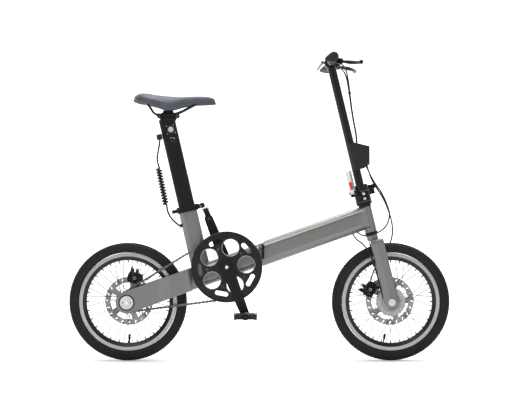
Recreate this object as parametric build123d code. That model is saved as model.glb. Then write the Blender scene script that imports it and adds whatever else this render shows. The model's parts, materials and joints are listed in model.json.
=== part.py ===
from build123d import *
import math
import os

# Folding bicycle with a front hub motor. Millimetres; +X forward, +Y left, +Z up,
# origin on the ground midway between the axles.

# Driving dimensions ----------------------------------------------------------------
WHEELBASE = 870.0
TYRE_R, TYRE_W = 195.0, 45.0
RIM_R = TYRE_R - 33.5
RIM_INNER_R, RIM_W = RIM_R - 24.5, 26.0
SPOKES_PER_SIDE, SPOKE_R = 14, 1.0
AXLE_R = 6.0
RUN = 0.05                      # radial clearance of a running fit
GAP = 0.3                       # gap between bodies that pass each other

BEAM_W, BEAM_H, BEAM_CORNER = 60.0, 72.0, 21.0
BEAM_WALL = 4.0
BB_ALONG = 347.5                # rear axle to bottom bracket, along the beam line
HINGE_AHEAD, HINGE_OUT = 447.0, 6.0    # fold pin: ahead of the rear axle, and out from the beam's side
HINGE_Y = BEAM_W / 2 + HINGE_OUT
LATCH_OUT = 5.0                  # the latch pin, out from the beam's other side
KNUCKLE_R, HINGE_PIN_R = 8.5, 4.0
HINGE_BELOW, HINGE_H = 29.294, 60.0    # the hinge's foot, below the beam's middle line

ARM_INNER, ARM_OUTER = 65.0, 82.0
ARM_END_R = 36.0

CHAIN_PITCH, RING_TEETH, SPROCKET_TEETH = 12.7, 52, 16
CHAINLINE = -46.5
ROLLER_R, ROLLER_L, CHAIN_PLATE = 3.8, 5.0, 0.8
GUARD_R = 117.0
CRANK_LENGTH, CRANK_ANGLE = 170.0, -68.6
CRANK_INNER, CRANK_OUTER = 55.0, 70.0
SPINDLE_R = 8.5
PEDAL_L, PEDAL_W, PEDAL_T = 76.0, 95.0, 24.0

HEAD_ANGLE, FORK_OFFSET = 76.5, 9.0
LEG_INNER, LEG_OUTER, LEG_W = 50.0, 68.0, 44.0
# Heights up the steering axis, each from the one below it.
CROWN_BOTTOM = TYRE_R + 5
CROWN_TOP = CROWN_BOTTOM + 12
HEAD_BOTTOM = CROWN_TOP + 27
HEAD_TOP = HEAD_BOTTOM + 86
HEAD_R = 20.0
CUP_H = 7.0
STEERER_R = 14.3
STEM_HINGE = HEAD_TOP + 60       # the stem's fold plane
STEM_PIN = 40.0                 # fold pin and latch pin, out from the steering axis
POST_LENGTH = 414.0
POST_R, POST_WALL, POST_TOP = 14.0, 2.5, STEM_HINGE + POST_LENGTH
BAR_S, BAR_R, BAR_END_R, BAR_HALF = POST_TOP + 17, 12.7, 11.1, 280.0
GRIP_L, GRIP_R = 125.0, 17.2

SEAT_ANGLE = 77.0
TYRE_TO_SEAT = 52.0              # the rear tyre's front to the seat tube's foot
SEAT_FOOT_AHEAD, SEAT_FOOT_BELOW = TYRE_R + TYRE_TO_SEAT, 0.469
BEAM_END = SEAT_FOOT_AHEAD - 34  # the rear beam's rear face, ahead of the axle
SEAT_POST_L, SEAT_POST_W, SEAT_POST_WALL = 54.0, 36.0, 3.0
SEAT_TUBE_WALL = 3.7
SEAT_TUBE_TOP = 226.0
SEAT_POST_FROM, SEAT_POST_TO = 141.0, 533.0
SADDLE_LENGTH, SADDLE_HALF = 280.0, 88.0
CABLE_R = 2.5
LEAD_R, COIL_R = 3.0, 11.0       # the lead's wire, and the outside of its coil

# Frames ----------------------------------------------------------------------------
REAR = Vector(-WHEELBASE / 2, 0, TYRE_R)
FRONT = Vector(WHEELBASE / 2, 0, TYRE_R)


def rise(angle):
    return math.cos(math.radians(angle)), math.sin(math.radians(angle))


HEAD_C, HEAD_S = rise(HEAD_ANGLE)
STEER_PLANE = Plane(
    origin=FRONT - Vector(HEAD_S, 0, HEAD_C) * FORK_OFFSET,
    x_dir=(HEAD_S, 0, HEAD_C),
    z_dir=(-HEAD_C, 0, HEAD_S),
)
# STEER: x ahead of the steering axis, y left, z up along it.
STEER = STEER_PLANE.location
# FOLD: the same, turned 45 degrees, so that x points at the stem's fold pin.
FOLD = STEER * Rot(0, 0, 45)

# The beam line aims from the rear axle at a point just above the middle of the head tube.
HEAD_MIDDLE = STEER_PLANE.from_local_coords((0, 0, (HEAD_BOTTOM + HEAD_TOP) / 2))
BEAM_ANGLE = math.degrees(math.atan2(HEAD_MIDDLE.Z + 9.57 - REAR.Z, HEAD_MIDDLE.X - REAR.X))
BEAM_C, BEAM_S = rise(BEAM_ANGLE)
BB = REAR + Vector(BEAM_C, 0, BEAM_S) * BB_ALONG
# SIDE: x along the beam line from the rear axle, y square to it and up, z to the right.
SIDE = Plane(origin=REAR, x_dir=(BEAM_C, 0, BEAM_S), z_dir=(0, -1, 0)).location
# BEAM: z along the beam line, x to the left, y square to the line and up.
BEAM = Plane(origin=REAR, x_dir=(0, 1, 0), z_dir=(BEAM_C, 0, BEAM_S)).location

HINGE_X = REAR.X + HINGE_AHEAD
HINGE_BOTTOM = REAR.Z + HINGE_AHEAD * BEAM_S / BEAM_C - HINGE_BELOW
HINGE_TOP = HINGE_BOTTOM + HINGE_H

SEAT_FOOT = REAR + Vector(SEAT_FOOT_AHEAD, 0, SEAT_FOOT_AHEAD * BEAM_S / BEAM_C - SEAT_FOOT_BELOW)
SEAT_C, SEAT_S = rise(SEAT_ANGLE)
SEAT_PLANE = Plane(origin=SEAT_FOOT, x_dir=(SEAT_S, 0, SEAT_C), z_dir=(-SEAT_C, 0, SEAT_S))
SEAT = SEAT_PLANE.location
# SADDLE: x ahead of the saddle's rear end, z up from the seat post's top.
POST_END = SEAT_PLANE.from_local_coords((0, 0, SEAT_POST_TO))
SADDLE = Location((POST_END.X - 112.1, 0, POST_END.Z))
BAR = Location(STEER_PLANE.from_local_coords((0, 0, BAR_S)), (0, 8, 0))

nodes = {}


# Shape helpers ---------------------------------------------------------------------
def rod(place, radius, low, high, bore=0.0):
    """A cylinder or ring along the z of a place, from low to high."""
    body = Pos(0, 0, (low + high) / 2) * Cylinder(radius, high - low)
    if bore:
        body -= Pos(0, 0, (low + high) / 2) * Cylinder(bore, high - low + 2)
    return place * body


def across(point):
    """A place at a point whose z runs along +Y and whose x runs along +X."""
    return Plane(origin=point, x_dir=(1, 0, 0), z_dir=(0, 1, 0)).location


def along_x(point):
    return Plane(origin=point, x_dir=(0, 1, 0), z_dir=(1, 0, 0)).location


def box(place, x, y, z):
    """A box from (low, high) pairs in a place."""
    middle = Pos((x[0] + x[1]) / 2, (y[0] + y[1]) / 2, (z[0] + z[1]) / 2)
    return place * middle * Box(x[1] - x[0], y[1] - y[0], z[1] - z[0])


def prism(place, points, low, high):
    """A polygon in the x-z plane of a place, from y = low to y = high."""
    outline = make_face(Polyline(*[(x, 0, z) for x, z in points], close=True))
    return place * Pos(0, low, 0) * extrude(outline, high - low, dir=(0, 1, 0))


def world_prism(points, low, high):
    return prism(Location((0, 0, 0)), points, low, high)


def plan_prism(points, low, high):
    outline = make_face(Polyline(*[(x, y, low) for x, y in points], close=True))
    return extrude(outline, high - low, dir=(0, 0, 1))


def strut(a, b, radius):
    a, b = Vector(*a), Vector(*b)
    return Plane(origin=a, z_dir=b - a).location * rod(Pos(0, 0, 0), radius, 0, (b - a).length)


def cord(points, radius, share=0.45):
    """A tube of straight runs and tangent arcs, each as large as its two runs allow."""
    points = [Vector(*p) for p in points]
    radii = []
    for a, b, c in zip(points, points[1:], points[2:]):
        run = min((b - a).length, (c - b).length)
        turn = math.radians((b - a).get_angle(c - b))
        radii.append(share * run / math.tan(turn / 2))
    print("radii", [round(r) for r in radii])
    path = FilletPolyline(*points, radius=radii)
    start = Plane(origin=points[0], z_dir=points[1] - points[0])
    tube = sweep(start * Circle(radius), path=path)
    print("tube volume ratio", round(tube.volume / (math.pi * radius**2 * path.length), 4))
    return tube


def largest(shape):
    return max(shape.solids(), key=lambda s: s.volume)


# Wheels ----------------------------------------------------------------------------
def wheel(name, centre, flange_r, flange_y):
    place = across(centre)
    tyre = Torus(TYRE_R - TYRE_W / 2, TYRE_W / 2) - Cylinder(RIM_R, TYRE_W * 2)
    nodes[f"{name}_tyre"] = place * tyre
    half, inner = RIM_W / 2, RIM_W / 2 - 5
    section = [(RIM_R, half), (RIM_R - 12, half), (RIM_INNER_R, inner),
               (RIM_INNER_R, -inner), (RIM_R - 12, -half), (RIM_R, -half)]
    face = make_face(Polyline(*[(r, 0, w) for r, w in section], close=True))
    nodes[f"{name}_rim"] = place * revolve(face, Axis.Z)
    spokes = []
    for side in (-1, 1):
        for i in range(SPOKES_PER_SIDE):
            turn = 360 / SPOKES_PER_SIDE * (i + side * 0.25)
            lead = 38 if i % 2 else -38
            hub_c, hub_s = rise(turn + lead)
            rim_c, rim_s = rise(turn)
            low, high = flange_r - 3, RIM_INNER_R + 1
            spokes.append(strut((low * hub_c, low * hub_s, side * (flange_y + (i % 2 * 3 - 1.5))),
                                (high * rim_c, high * rim_s, side * 2.5), SPOKE_R))
    nodes[f"{name}_spokes"] = Compound(children=[place * s for s in spokes])


def rotor(centre, y, bore, rim_r=80.0):
    """A brake disc with a slotted ring and five spider arms."""
    place = across(Vector(centre.X, y, centre.Z))
    disc = rod(place, rim_r, -1, 1, bore)
    for i in range(5):
        window = make_face(Polyline(*[(r * rise(72 * i + a)[0], r * rise(72 * i + a)[1], -2)
                                      for r, a in ((28, 14), (62, 8), (63, 34), (62, 60), (28, 54))],
                                    close=True))
        disc -= place * extrude(window, 4, dir=(0, 0, 1))
    for i in range(20):
        c, s = rise(18 * i)
        disc -= place * Pos(72 * c, 72 * s, 0) * Rot(0, 0, 18 * i + 30) * Box(9, 3, 4)
    return disc


wheel("rear", REAR, 26, 24)
rear_place = across(REAR)
HUB_BORE = AXLE_R + RUN
hub = rod(rear_place, 15, -56, 56, HUB_BORE)
for y in (-24, 24):
    hub += rod(rear_place, 26, y - 3.2, y + 3.2, HUB_BORE)
hub += rod(rear_place, 18, -50, -38, HUB_BORE) + rod(rear_place, 18, 36, 47, HUB_BORE)
nodes["rear_hub"] = hub
nodes["rear_rotor"] = rotor(REAR, 45, 18)

wheel("front", FRONT, 44, 22)
front_place = across(FRONT)
motor = rod(front_place, 44, -32, 32, HUB_BORE) + rod(front_place, 47, -26, 26, HUB_BORE)
motor += rod(front_place, 16, -42, 42, HUB_BORE)
nodes["motor_hub"] = motor
nodes["front_rotor"] = rotor(FRONT, 40, 16)

# Drivetrain ------------------------------------------------------------------------
RING_R = CHAIN_PITCH / 2 / math.sin(math.pi / RING_TEETH)
SPROCKET_R = CHAIN_PITCH / 2 / math.sin(math.pi / SPROCKET_TEETH)
SPAN = BB_ALONG
WRAP = math.asin((RING_R - SPROCKET_R) / SPAN)
CHAIN_RUN = SPAN * math.cos(WRAP)
CHAIN_LENGTH = 2 * CHAIN_RUN + RING_R * (math.pi + 2 * WRAP) + SPROCKET_R * (math.pi - 2 * WRAP)
LINKS = 2 * round(CHAIN_LENGTH / CHAIN_PITCH / 2)


def chain_point(distance):
    """A point of the pitch line, in SIDE, counted from the middle of the chainring's wrap."""
    d = (distance + CHAIN_LENGTH / 2) % CHAIN_LENGTH - CHAIN_LENGTH / 2
    sign, d = (1, d) if d >= 0 else (-1, -d)
    front_arc = RING_R * (math.pi / 2 + WRAP)
    if d <= front_arc:
        return SPAN + RING_R * math.cos(d / RING_R), sign * RING_R * math.sin(d / RING_R)
    up = math.pi / 2 + WRAP
    if d <= front_arc + CHAIN_RUN:
        gone = d - front_arc
        return (SPAN + RING_R * math.cos(up) - gone * math.cos(WRAP),
                sign * (RING_R * math.sin(up) - gone * math.sin(WRAP)))
    turn = up + (d - front_arc - CHAIN_RUN) / SPROCKET_R
    return SPROCKET_R * math.cos(turn), sign * SPROCKET_R * math.sin(turn)


def loop(offset):
    """The face inside the chain's pitch line, grown by an offset."""
    big, small = RING_R + offset, SPROCKET_R + offset
    c, s = math.cos(math.pi / 2 + WRAP), math.sin(math.pi / 2 + WRAP)
    middle = make_face(Polyline((small * c, small * s), (SPAN + big * c, big * s),
                                (SPAN + big * c, -big * s), (small * c, -small * s), close=True))
    return middle + Pos(SPAN, 0) * Circle(big) + Circle(small)


def chain_plate(y):
    band = extrude(loop(4.2) - loop(-4.2), CHAIN_PLATE)
    return SIDE * Pos(0, 0, -y - CHAIN_PLATE / 2) * band


rollers = [SIDE * Pos(*chain_point(i * CHAIN_LENGTH / LINKS), -CHAINLINE) * Cylinder(ROLLER_R, ROLLER_L)
           for i in range(LINKS)]
nodes["chain"] = Compound(children=[
    chain_plate(CHAINLINE + (ROLLER_L + CHAIN_PLATE) / 2),
    chain_plate(CHAINLINE - (ROLLER_L + CHAIN_PLATE) / 2), *rollers])


def toothed(teeth, pitch_r, first, thickness, bore):
    """A chain wheel about the local z, with one valley at the angle first."""
    disc = Cylinder(pitch_r + 2.0, thickness)
    for i in range(teeth):
        c, s = rise(first + 360 / teeth * i)
        disc -= Pos(pitch_r * c, pitch_r * s, 0) * Cylinder(ROLLER_R + 1.1, thickness + 2)
    return disc - Cylinder(bore, thickness + 2)


sprocket_x, sprocket_y = min((chain_point(i * CHAIN_LENGTH / LINKS) for i in range(LINKS)),
                             key=lambda p: p[0])
first_valley = math.degrees(math.atan2(sprocket_y, sprocket_x))
nodes["rear_sprocket"] = SIDE * Pos(0, 0, -CHAINLINE) * toothed(
    SPROCKET_TEETH, SPROCKET_R, first_valley, 2.4, 18)

BB_SIDE = SIDE * Pos(SPAN, 0, 0)     # z to the right, at the bottom bracket
FIVE = [CRANK_ANGLE - BEAM_ANGLE + 111.6 + 72 * i for i in range(5)]


def spider_cuts(thickness):
    """Five round windows, and five slots between them, through a disc."""
    cuts = []
    for angle in FIVE:
        c, s = rise(angle - 36)
        cuts.append(Pos(65 * c, 65 * s, 0) * Cylinder(28, thickness))
        c, s = rise(angle)
        cuts.append(Pos(89 * c, 89 * s, 0) * Rot(0, 0, angle + 90)
                    * extrude(SlotOverall(44, 15), thickness / 2, both=True))
    return cuts


def guard(low, high, bore):
    disc = rod(Pos(0, 0, 0), GUARD_R, low, high, bore)
    for cut in spider_cuts(200):
        disc -= cut
    return BB_SIDE * disc


ring = toothed(RING_TEETH, RING_R, 0, 2.6, 22)
for cut in spider_cuts(10):
    ring -= cut
nodes["chainring"] = BB_SIDE * Pos(0, 0, -CHAINLINE) * ring
nodes["chain_guards"] = Compound(children=[guard(41, 43, 22), guard(50, 52, 22)])


def crank_arm(side, angle):
    """side is +1 for the right arm and -1 for the left; angle from level ahead, upwards."""
    c, s = rise(angle - BEAM_ANGLE)
    low, high = sorted((side * CRANK_INNER, side * CRANK_OUTER))
    outline = make_hull([*Circle(21).edges(), *(Pos(CRANK_LENGTH, 0) * Circle(14)).edges()])
    arm = Pos(0, 0, low) * extrude(outline, high - low)
    arm = Rot(0, 0, angle - BEAM_ANGLE) * arm
    arm -= Cylinder(SPINDLE_R, 400)
    arm -= Pos(CRANK_LENGTH * c, CRANK_LENGTH * s, 0) * Cylinder(6, 400)
    return BB_SIDE * arm


carrier = rod(BB_SIDE, 22, 38, CRANK_INNER, SPINDLE_R)
right_arm = crank_arm(1, CRANK_ANGLE) + carrier
left_arm = crank_arm(-1, CRANK_ANGLE + 180)
nodes["crank_arms"] = Compound(children=[largest(right_arm), largest(left_arm)])
spindles = [rod(BB_SIDE, SPINDLE_R, -CRANK_OUTER, CRANK_OUTER)]
for name, side, angle in (("right_pedal", 1, CRANK_ANGLE), ("left_pedal", -1, CRANK_ANGLE + 180)):
    c, s = rise(angle - BEAM_ANGLE)
    place = BB_SIDE * Pos(CRANK_LENGTH * c, CRANK_LENGTH * s, 0)
    ends = sorted((side * CRANK_INNER, side * (CRANK_OUTER + PEDAL_W)))
    spindles.append(rod(place, 6, *ends))
    level = -BEAM_ANGLE if side == 1 else angle - BEAM_ANGLE
    middle = side * (CRANK_OUTER + 3 + PEDAL_W / 2)
    body = Pos(0, 0, middle) * (Box(PEDAL_L, PEDAL_T, PEDAL_W) - Cylinder(6 + RUN, PEDAL_W + 2))
    for x in (-23, 23):
        body -= Pos(x, 0, middle) * Box(14, PEDAL_T + 2, PEDAL_W - 24)
    nodes[name] = place * Rot(0, 0, level) * body
nodes["spindles"] = Compound(children=spindles)

# Rear frame ------------------------------------------------------------------------
hinge_side = HINGE_X - GAP / 2
REAR_GROUND = Location(REAR)
beam = BEAM * extrude(RectangleRounded(BEAM_W, BEAM_H, BEAM_CORNER), 560)
hollow = BEAM * Pos(0, 0, BB_ALONG + 34) * extrude(
    RectangleRounded(BEAM_W - 2 * BEAM_WALL, BEAM_H - 2 * BEAM_WALL, BEAM_CORNER - BEAM_WALL), 200)
behind = box(REAR_GROUND, (BEAM_END, hinge_side - REAR.X), (-90, 90), (-45, 405))
beam = (beam & behind) - hollow
beam += rod(BB_SIDE, 22, -34, 34)


def knuckles(side, spans):
    """Hinge barrels and the webs that join them to one half; side is -1 behind the pin."""
    body = None
    for low, high in spans:
        web = box(Pos(0, 0, 0), sorted((HINGE_X + side * (GAP / 2), HINGE_X + side * 9)),
                  (BEAM_W / 2 - 6, HINGE_Y), (low, high))
        barrel = rod(Pos(HINGE_X, HINGE_Y, 0), KNUCKLE_R, low, high)
        body = web + barrel if body is None else body + web + barrel
    return body


third = (HINGE_TOP - HINGE_BOTTOM) / 3
REAR_SPANS = [(HINGE_BOTTOM, HINGE_BOTTOM + third - GAP), (HINGE_TOP - third + GAP, HINGE_TOP)]
FRONT_SPANS = [(HINGE_BOTTOM + third, HINGE_TOP - third)]
beam += knuckles(-1, REAR_SPANS)
beam -= rod(Pos(HINGE_X, HINGE_Y, 0), KNUCKLE_R + GAP, FRONT_SPANS[0][0] - GAP, FRONT_SPANS[0][1] + GAP)
beam -= rod(Pos(HINGE_X, HINGE_Y, 0), HINGE_PIN_R, HINGE_BOTTOM - 74, HINGE_TOP + 66)
beam -= rod(BB_SIDE, SPINDLE_R + RUN, -60, 60)
# Ear for the frame latch, on the right of the hinge.
LATCH_TOP, LATCH_Y = HINGE_TOP - 2, -BEAM_W / 2 - LATCH_OUT
LATCH_X = HINGE_X - 12            # the latch pin's rear end
ear = box(Pos(LATCH_X, 0, 0), (-2, 7.7), (LATCH_Y - 4, 8 - BEAM_W / 2), (LATCH_TOP - 8, LATCH_TOP + 5))
beam += ear
beam -= rod(along_x((LATCH_X, LATCH_Y, LATCH_TOP)), 2.5, -2, 40)
well_x, well_y = SEAT_POST_L / 2 + RUN, SEAT_POST_W / 2 + RUN
post_well = SEAT * Pos(0, 0, -24) * extrude(RectangleRounded(2 * well_x, 2 * well_y, 14), 400)
beam -= post_well

# Arms: plan outline through side outline.
# They stay inside the cranks' sweep and then flare out past the hub.
flare = min(BEAM_END, BB_ALONG * BEAM_C - GUARD_R + 2.5)     # behind the guard's rear edge
plan = [(BEAM_END, 36)] if BEAM_END > flare + 0.1 else []
plan += [(flare, 36), (flare - 23, 47), (143, 50), (105, 70), (35, ARM_OUTER - 1),
         (-45, ARM_OUTER), (-45, ARM_INNER), (35, ARM_INNER - 2), (105, 53), (143, 37),
         (BEAM_END - 34, 31), (BEAM_END, 24)]
tip = SIDE * Cylinder(ARM_END_R, 400)
bar = SIDE * Pos(200, 0, 0) * Box(400, 2 * ARM_END_R, 400)
bosses_z = REAR.Z + 49 * BEAM_S / BEAM_C
arms = []
for side in (-1, 1):
    arm = plan_prism([(REAR.X + x, side * y) for x, y in plan], 50, 500) & (tip + bar)
    if side == 1:
        for x in (REAR.X + 40, REAR.X + 58):
            arm += rod(across((x, 0, bosses_z)), 7, 68, 84)
            arm -= rod(across((x, 0, bosses_z)), 3, 72, 90)
    arm -= beam
    arm -= post_well
    arm -= rod(rear_place, AXLE_R, -100, 100)
    arms.append(largest(arm))
nodes["rear_arms"] = Compound(children=arms)

seat_tube = SEAT * Pos(0, 0, -40) * extrude(
    RectangleRounded(SEAT_POST_L + 2 * SEAT_TUBE_WALL, SEAT_POST_W + 2 * SEAT_TUBE_WALL + 0.6, 17),
    SEAT_TUBE_TOP + 40)
foot = SEAT * Pos(-3, 0, -30) * extrude(RectangleRounded(74, 60, 22), 62)
seat_tube = seat_tube + foot
for piece in (beam, *arms, post_well):
    seat_tube -= piece
nodes["rear_beam"] = beam
nodes["seat_tube"] = largest(seat_tube)
nodes["frame_pins"] = Compound(children=[
    rod(Pos(HINGE_X, HINGE_Y, 0), HINGE_PIN_R, HINGE_BOTTOM - 3, HINGE_TOP + 3),
    rod(along_x((LATCH_X, LATCH_Y, LATCH_TOP)), 2.5, -2, 17)])
latch = box(Pos(LATCH_X, 0, 0), (8, 16), (LATCH_Y - 4, LATCH_Y + 4), (LATCH_TOP - 44, LATCH_TOP + 4))
nodes["frame_latch_lever"] = latch - rod(along_x((LATCH_X, LATCH_Y, LATCH_TOP)), 2.5 + RUN, 0, 30)

nodes["rear_axle"] = rod(rear_place, AXLE_R, -ARM_OUTER - 4, ARM_OUTER + 4)
caps = []
for side in (-1, 1):
    ends = sorted((side * ARM_OUTER, side * (ARM_OUTER + 4)))
    cap = rod(rear_place, 22, *ends, AXLE_R)
    for x in (-13, 13):
        cap -= rear_place * Pos(x, 0, 0) * Cylinder(2.5, 300)
    caps.append(cap)
nodes["axle_caps"] = Compound(children=caps)


def caliper(centre, offset, disc_y, bracket):
    """A disc-brake caliper astride a rotor, with its bracket plate."""
    place = across((centre.X + offset[0], disc_y, centre.Z + offset[1]))
    turn = math.degrees(math.atan2(-offset[1], offset[0]))
    body = place * Rot(0, 0, turn) * Box(36, 44, 34)
    body += place * rod(Pos(0, 0, 0), 10.5, 14, 17 + 3)
    body += bracket
    slot = rod(across((centre.X, disc_y, centre.Z)), 82, -2.2, 2.2)
    return largest(body - slot)


rear_bracket = world_prism([(REAR.X + 2, REAR.Z + 60), (REAR.X + 36, REAR.Z + 60),
                            (REAR.X + 40, REAR.Z + 26), (REAR.X + 8, REAR.Z + 18)], 52, 70)
rear_caliper = caliper(REAR, (20, 76), 45, rear_bracket)
nodes["rear_caliper"] = largest(rear_caliper - arms[1])

# Seat post -------------------------------------------------------------------------
post_outer = RectangleRounded(SEAT_POST_L, SEAT_POST_W, 14)
post_inner = RectangleRounded(SEAT_POST_L - 2 * SEAT_POST_WALL, SEAT_POST_W - 2 * SEAT_POST_WALL, 11)
seat_post = SEAT * Pos(0, 0, SEAT_POST_FROM) * extrude(post_outer, SEAT_POST_TO - SEAT_POST_FROM)
seat_post -= SEAT * Pos(0, 0, SEAT_POST_FROM) * extrude(
    post_inner, SEAT_POST_TO - SEAT_POST_FROM - 12)
BUTTON_F, BUTTON_T, BUTTON_R = 6.3, 494.0, 8.6
button_place = across(SEAT_PLANE.from_local_coords((BUTTON_F, 0, BUTTON_T)))
half_post = SEAT_POST_W / 2
seat_post -= rod(button_place, BUTTON_R + RUN, -half_post - 2, -half_post + 4)
nodes["seat_post_tube"] = largest(seat_post)
nodes["power_button"] = rod(button_place, BUTTON_R, -half_post - 1.6, -half_post + 1.6)
nodes["battery_pack"] = SEAT * Pos(0, 0, SEAT_POST_FROM + 15) * extrude(
    RectangleRounded(SEAT_POST_L - 2 * SEAT_POST_WALL - 1, SEAT_POST_W - 2 * SEAT_POST_WALL - 3, 8), 322)

collar = SEAT * Pos(0, 0, SEAT_TUBE_TOP - 10) * extrude(RectangleRounded(71, 53, 21), 20)
ears = box(SEAT, (33, 42), (-9, 9), (SEAT_TUBE_TOP - 8, SEAT_TUBE_TOP + 8))
nut = SEAT * Pos(0, 0, SEAT_TUBE_TOP) * Rot(0, -90, 0) * rod(Pos(0, 0, 0), 6, 30, 52)
collar = collar + ears + nut
collar -= seat_tube
collar -= SEAT * Pos(0, 0, SEAT_TUBE_TOP) * extrude(
    RectangleRounded(SEAT_POST_L + 0.8, SEAT_POST_W + 0.8, 14.4), 40)
collar -= post_well
CLAMP_PIN_F = 50.0
clamp_place = SEAT * Pos(CLAMP_PIN_F, 0, SEAT_TUBE_TOP)
collar += box(SEAT, (40, CLAMP_PIN_F), (-3, 3), (SEAT_TUBE_TOP - 2, SEAT_TUBE_TOP + 2))
collar += rod(clamp_place, 3, -9, 9)
nodes["seat_clamp_collar"] = largest(collar)
lever = rod(clamp_place, 7.5, -7.5, 7.5) + box(clamp_place, (0, 8), (0, 46), (-7.5, 7.5))
lever += clamp_place * Pos(4, 46, 0) * Cylinder(4, 15)
lever -= rod(clamp_place, 3 + RUN, -20, 20)
lever -= rod(clamp_place, 11, -2.5, 2.5)
nodes["seat_clamp_lever"] = largest(lever)

rail_points = [(48, 51.7), (74, 11.7), (148, 14.7), (SADDLE_LENGTH - 68, 48.7)]
rails = [SADDLE * cord([(x, y, z) for x, z in rail_points], 3.5, 0.3) for y in (-22, 22)]
saddle_plan = make_hull([
    *(Pos(62, SADDLE_HALF - 62) * Circle(62)).edges(),
    *(Pos(62, 62 - SADDLE_HALF) * Circle(62)).edges(),
    *(Pos(SADDLE_LENGTH - 19, 0) * Circle(19)).edges()])
nose = SADDLE_LENGTH - 280
saddle_top = [(nose + 279, 59.7), (nose + 275, 70.7), (nose + 255, 75.7), (190, 71.7), (120, 74.7),
              (35, 86.7), (15, 82.7), (0, 68.7)]
saddle_under = [(0, 58.7), (20, 55.7), (120, 48.7), (220, 46.7), (nose + 279, 51.7)]
block = extrude(Pos(0, 0, -100) * saddle_plan, 300)
nodes["saddle_cover"] = SADDLE * (block & world_prism(saddle_top + saddle_under, -100, 100))
inner_block = extrude(Pos(0, 0, -100) * offset(saddle_plan, -8), 300)
base_under = [(x, z - 5) for x, z in reversed(saddle_under)]
base = SADDLE * (inner_block & world_prism(saddle_under + base_under, -100, 100))
for rail in rails:
    base -= rail
nodes["saddle_base"] = largest(base)
nodes["saddle_rails"] = Compound(children=[largest(r - nodes["saddle_cover"]) for r in rails])
head = box(SADDLE, (80, 156), (-30, 30), (-7.3, 26.7))
for piece in (seat_post, *rails):
    head -= piece
nodes["seat_post_head"] = largest(head)

# Battery lead ----------------------------------------------------------------------
LEAD_Y = -14.0
plug = box(SEAT, (-45, -SEAT_POST_L / 2), (LEAD_Y - 8, LEAD_Y + 8), (468, 488))
nodes["battery_plug"] = plug - seat_post


def at_post(*points):
    """Points given ahead of the seat post's axis, left, and up along it."""
    return [SEAT_PLANE.from_local_coords(p) for p in points]


COIL_TOP, COIL_END = at_post((-62, LEAD_Y, 380.7), (-65.9, LEAD_Y, 252.3))
lead_upper = cord([*at_post((-37, LEAD_Y, 468), (-45.2, LEAD_Y + 1, 444.6),
                            (-56.6, LEAD_Y, 421.5), (-61.3, LEAD_Y - 1, 401.1)), COIL_TOP], LEAD_R)
GLAND_T = 176.0
gland = SEAT * Pos(0, LEAD_Y + 4, GLAND_T) * Rot(0, -90, 0) * rod(Pos(0, 0, 0), 6, 20, 37)
nodes["lead_gland"] = largest(gland - seat_tube - post_well)
lead_lower = cord([COIL_END, *at_post((-65.6, LEAD_Y, 231.7), (-60.8, LEAD_Y + 2, 212.1),
                                      (-50.8, LEAD_Y + 3.6, 193.4), (-37, LEAD_Y + 4, GLAND_T))], LEAD_R)
nodes["battery_lead"] = Compound(children=[lead_upper, lead_lower - nodes["lead_gland"]])
nodes["battery_coil"] = strut(COIL_TOP, COIL_END, COIL_R)

# Front frame -----------------------------------------------------------------------
front_h = 78.0
front = BEAM * Pos(0, 0, 400) * extrude(
    RectangleRounded(BEAM_W, front_h, BEAM_CORNER + 2), WHEELBASE - 350)
front -= BEAM * Pos(0, 0, 400) * extrude(
    RectangleRounded(BEAM_W - 2 * BEAM_WALL, front_h - 2 * BEAM_WALL, BEAM_CORNER - 2), WHEELBASE - 510)
front &= plan_prism([(HINGE_X + GAP / 2, -40), (FRONT.X - 145, -40), (FRONT.X - 50, -19),
                     (FRONT.X - 50, 19), (FRONT.X - 145, 40), (HINGE_X + GAP / 2, 40)], 150, 800)
front &= prism(STEER, [(-WHEELBASE, -100), (-WHEELBASE, 700), (-60, HEAD_TOP + 12), (0, HEAD_TOP),
                       (0, HEAD_BOTTOM), (-50, HEAD_BOTTOM - 10)], -60, 60)
front += rod(STEER, HEAD_R, HEAD_BOTTOM, HEAD_TOP)
front += knuckles(1, FRONT_SPANS)
for low, high in REAR_SPANS:
    below, above = (20, GAP) if low == HINGE_BOTTOM else (GAP, 20)
    front -= rod(Pos(HINGE_X, HINGE_Y, 0), KNUCKLE_R + GAP, low - below, high + above)
front -= rod(Pos(HINGE_X, HINGE_Y, 0), HINGE_PIN_R + RUN, HINGE_BOTTOM - 74, HINGE_TOP + 66)
front -= rod(STEER, HEAD_R - 3, HEAD_BOTTOM - 30, HEAD_TOP + 30)
front -= rod(STEER, HEAD_R + 4, HEAD_BOTTOM - 60, HEAD_BOTTOM)
front -= rod(STEER, HEAD_R + 4, HEAD_TOP, HEAD_TOP + 60)
front += box(Pos(HINGE_X, 0, HINGE_BOTTOM), (4.6, 12), (-BEAM_W / 2 - 6, 4 - BEAM_W / 2), (20, 38))
nodes["front_beam"] = largest(front)
cups = [rod(STEER, HEAD_R + 1, HEAD_BOTTOM - CUP_H, HEAD_BOTTOM, STEERER_R + RUN),
        rod(STEER, HEAD_R + 1, HEAD_TOP, HEAD_TOP + CUP_H, STEERER_R + RUN)]
nodes["headset_cups"] = Compound(children=cups)

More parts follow.
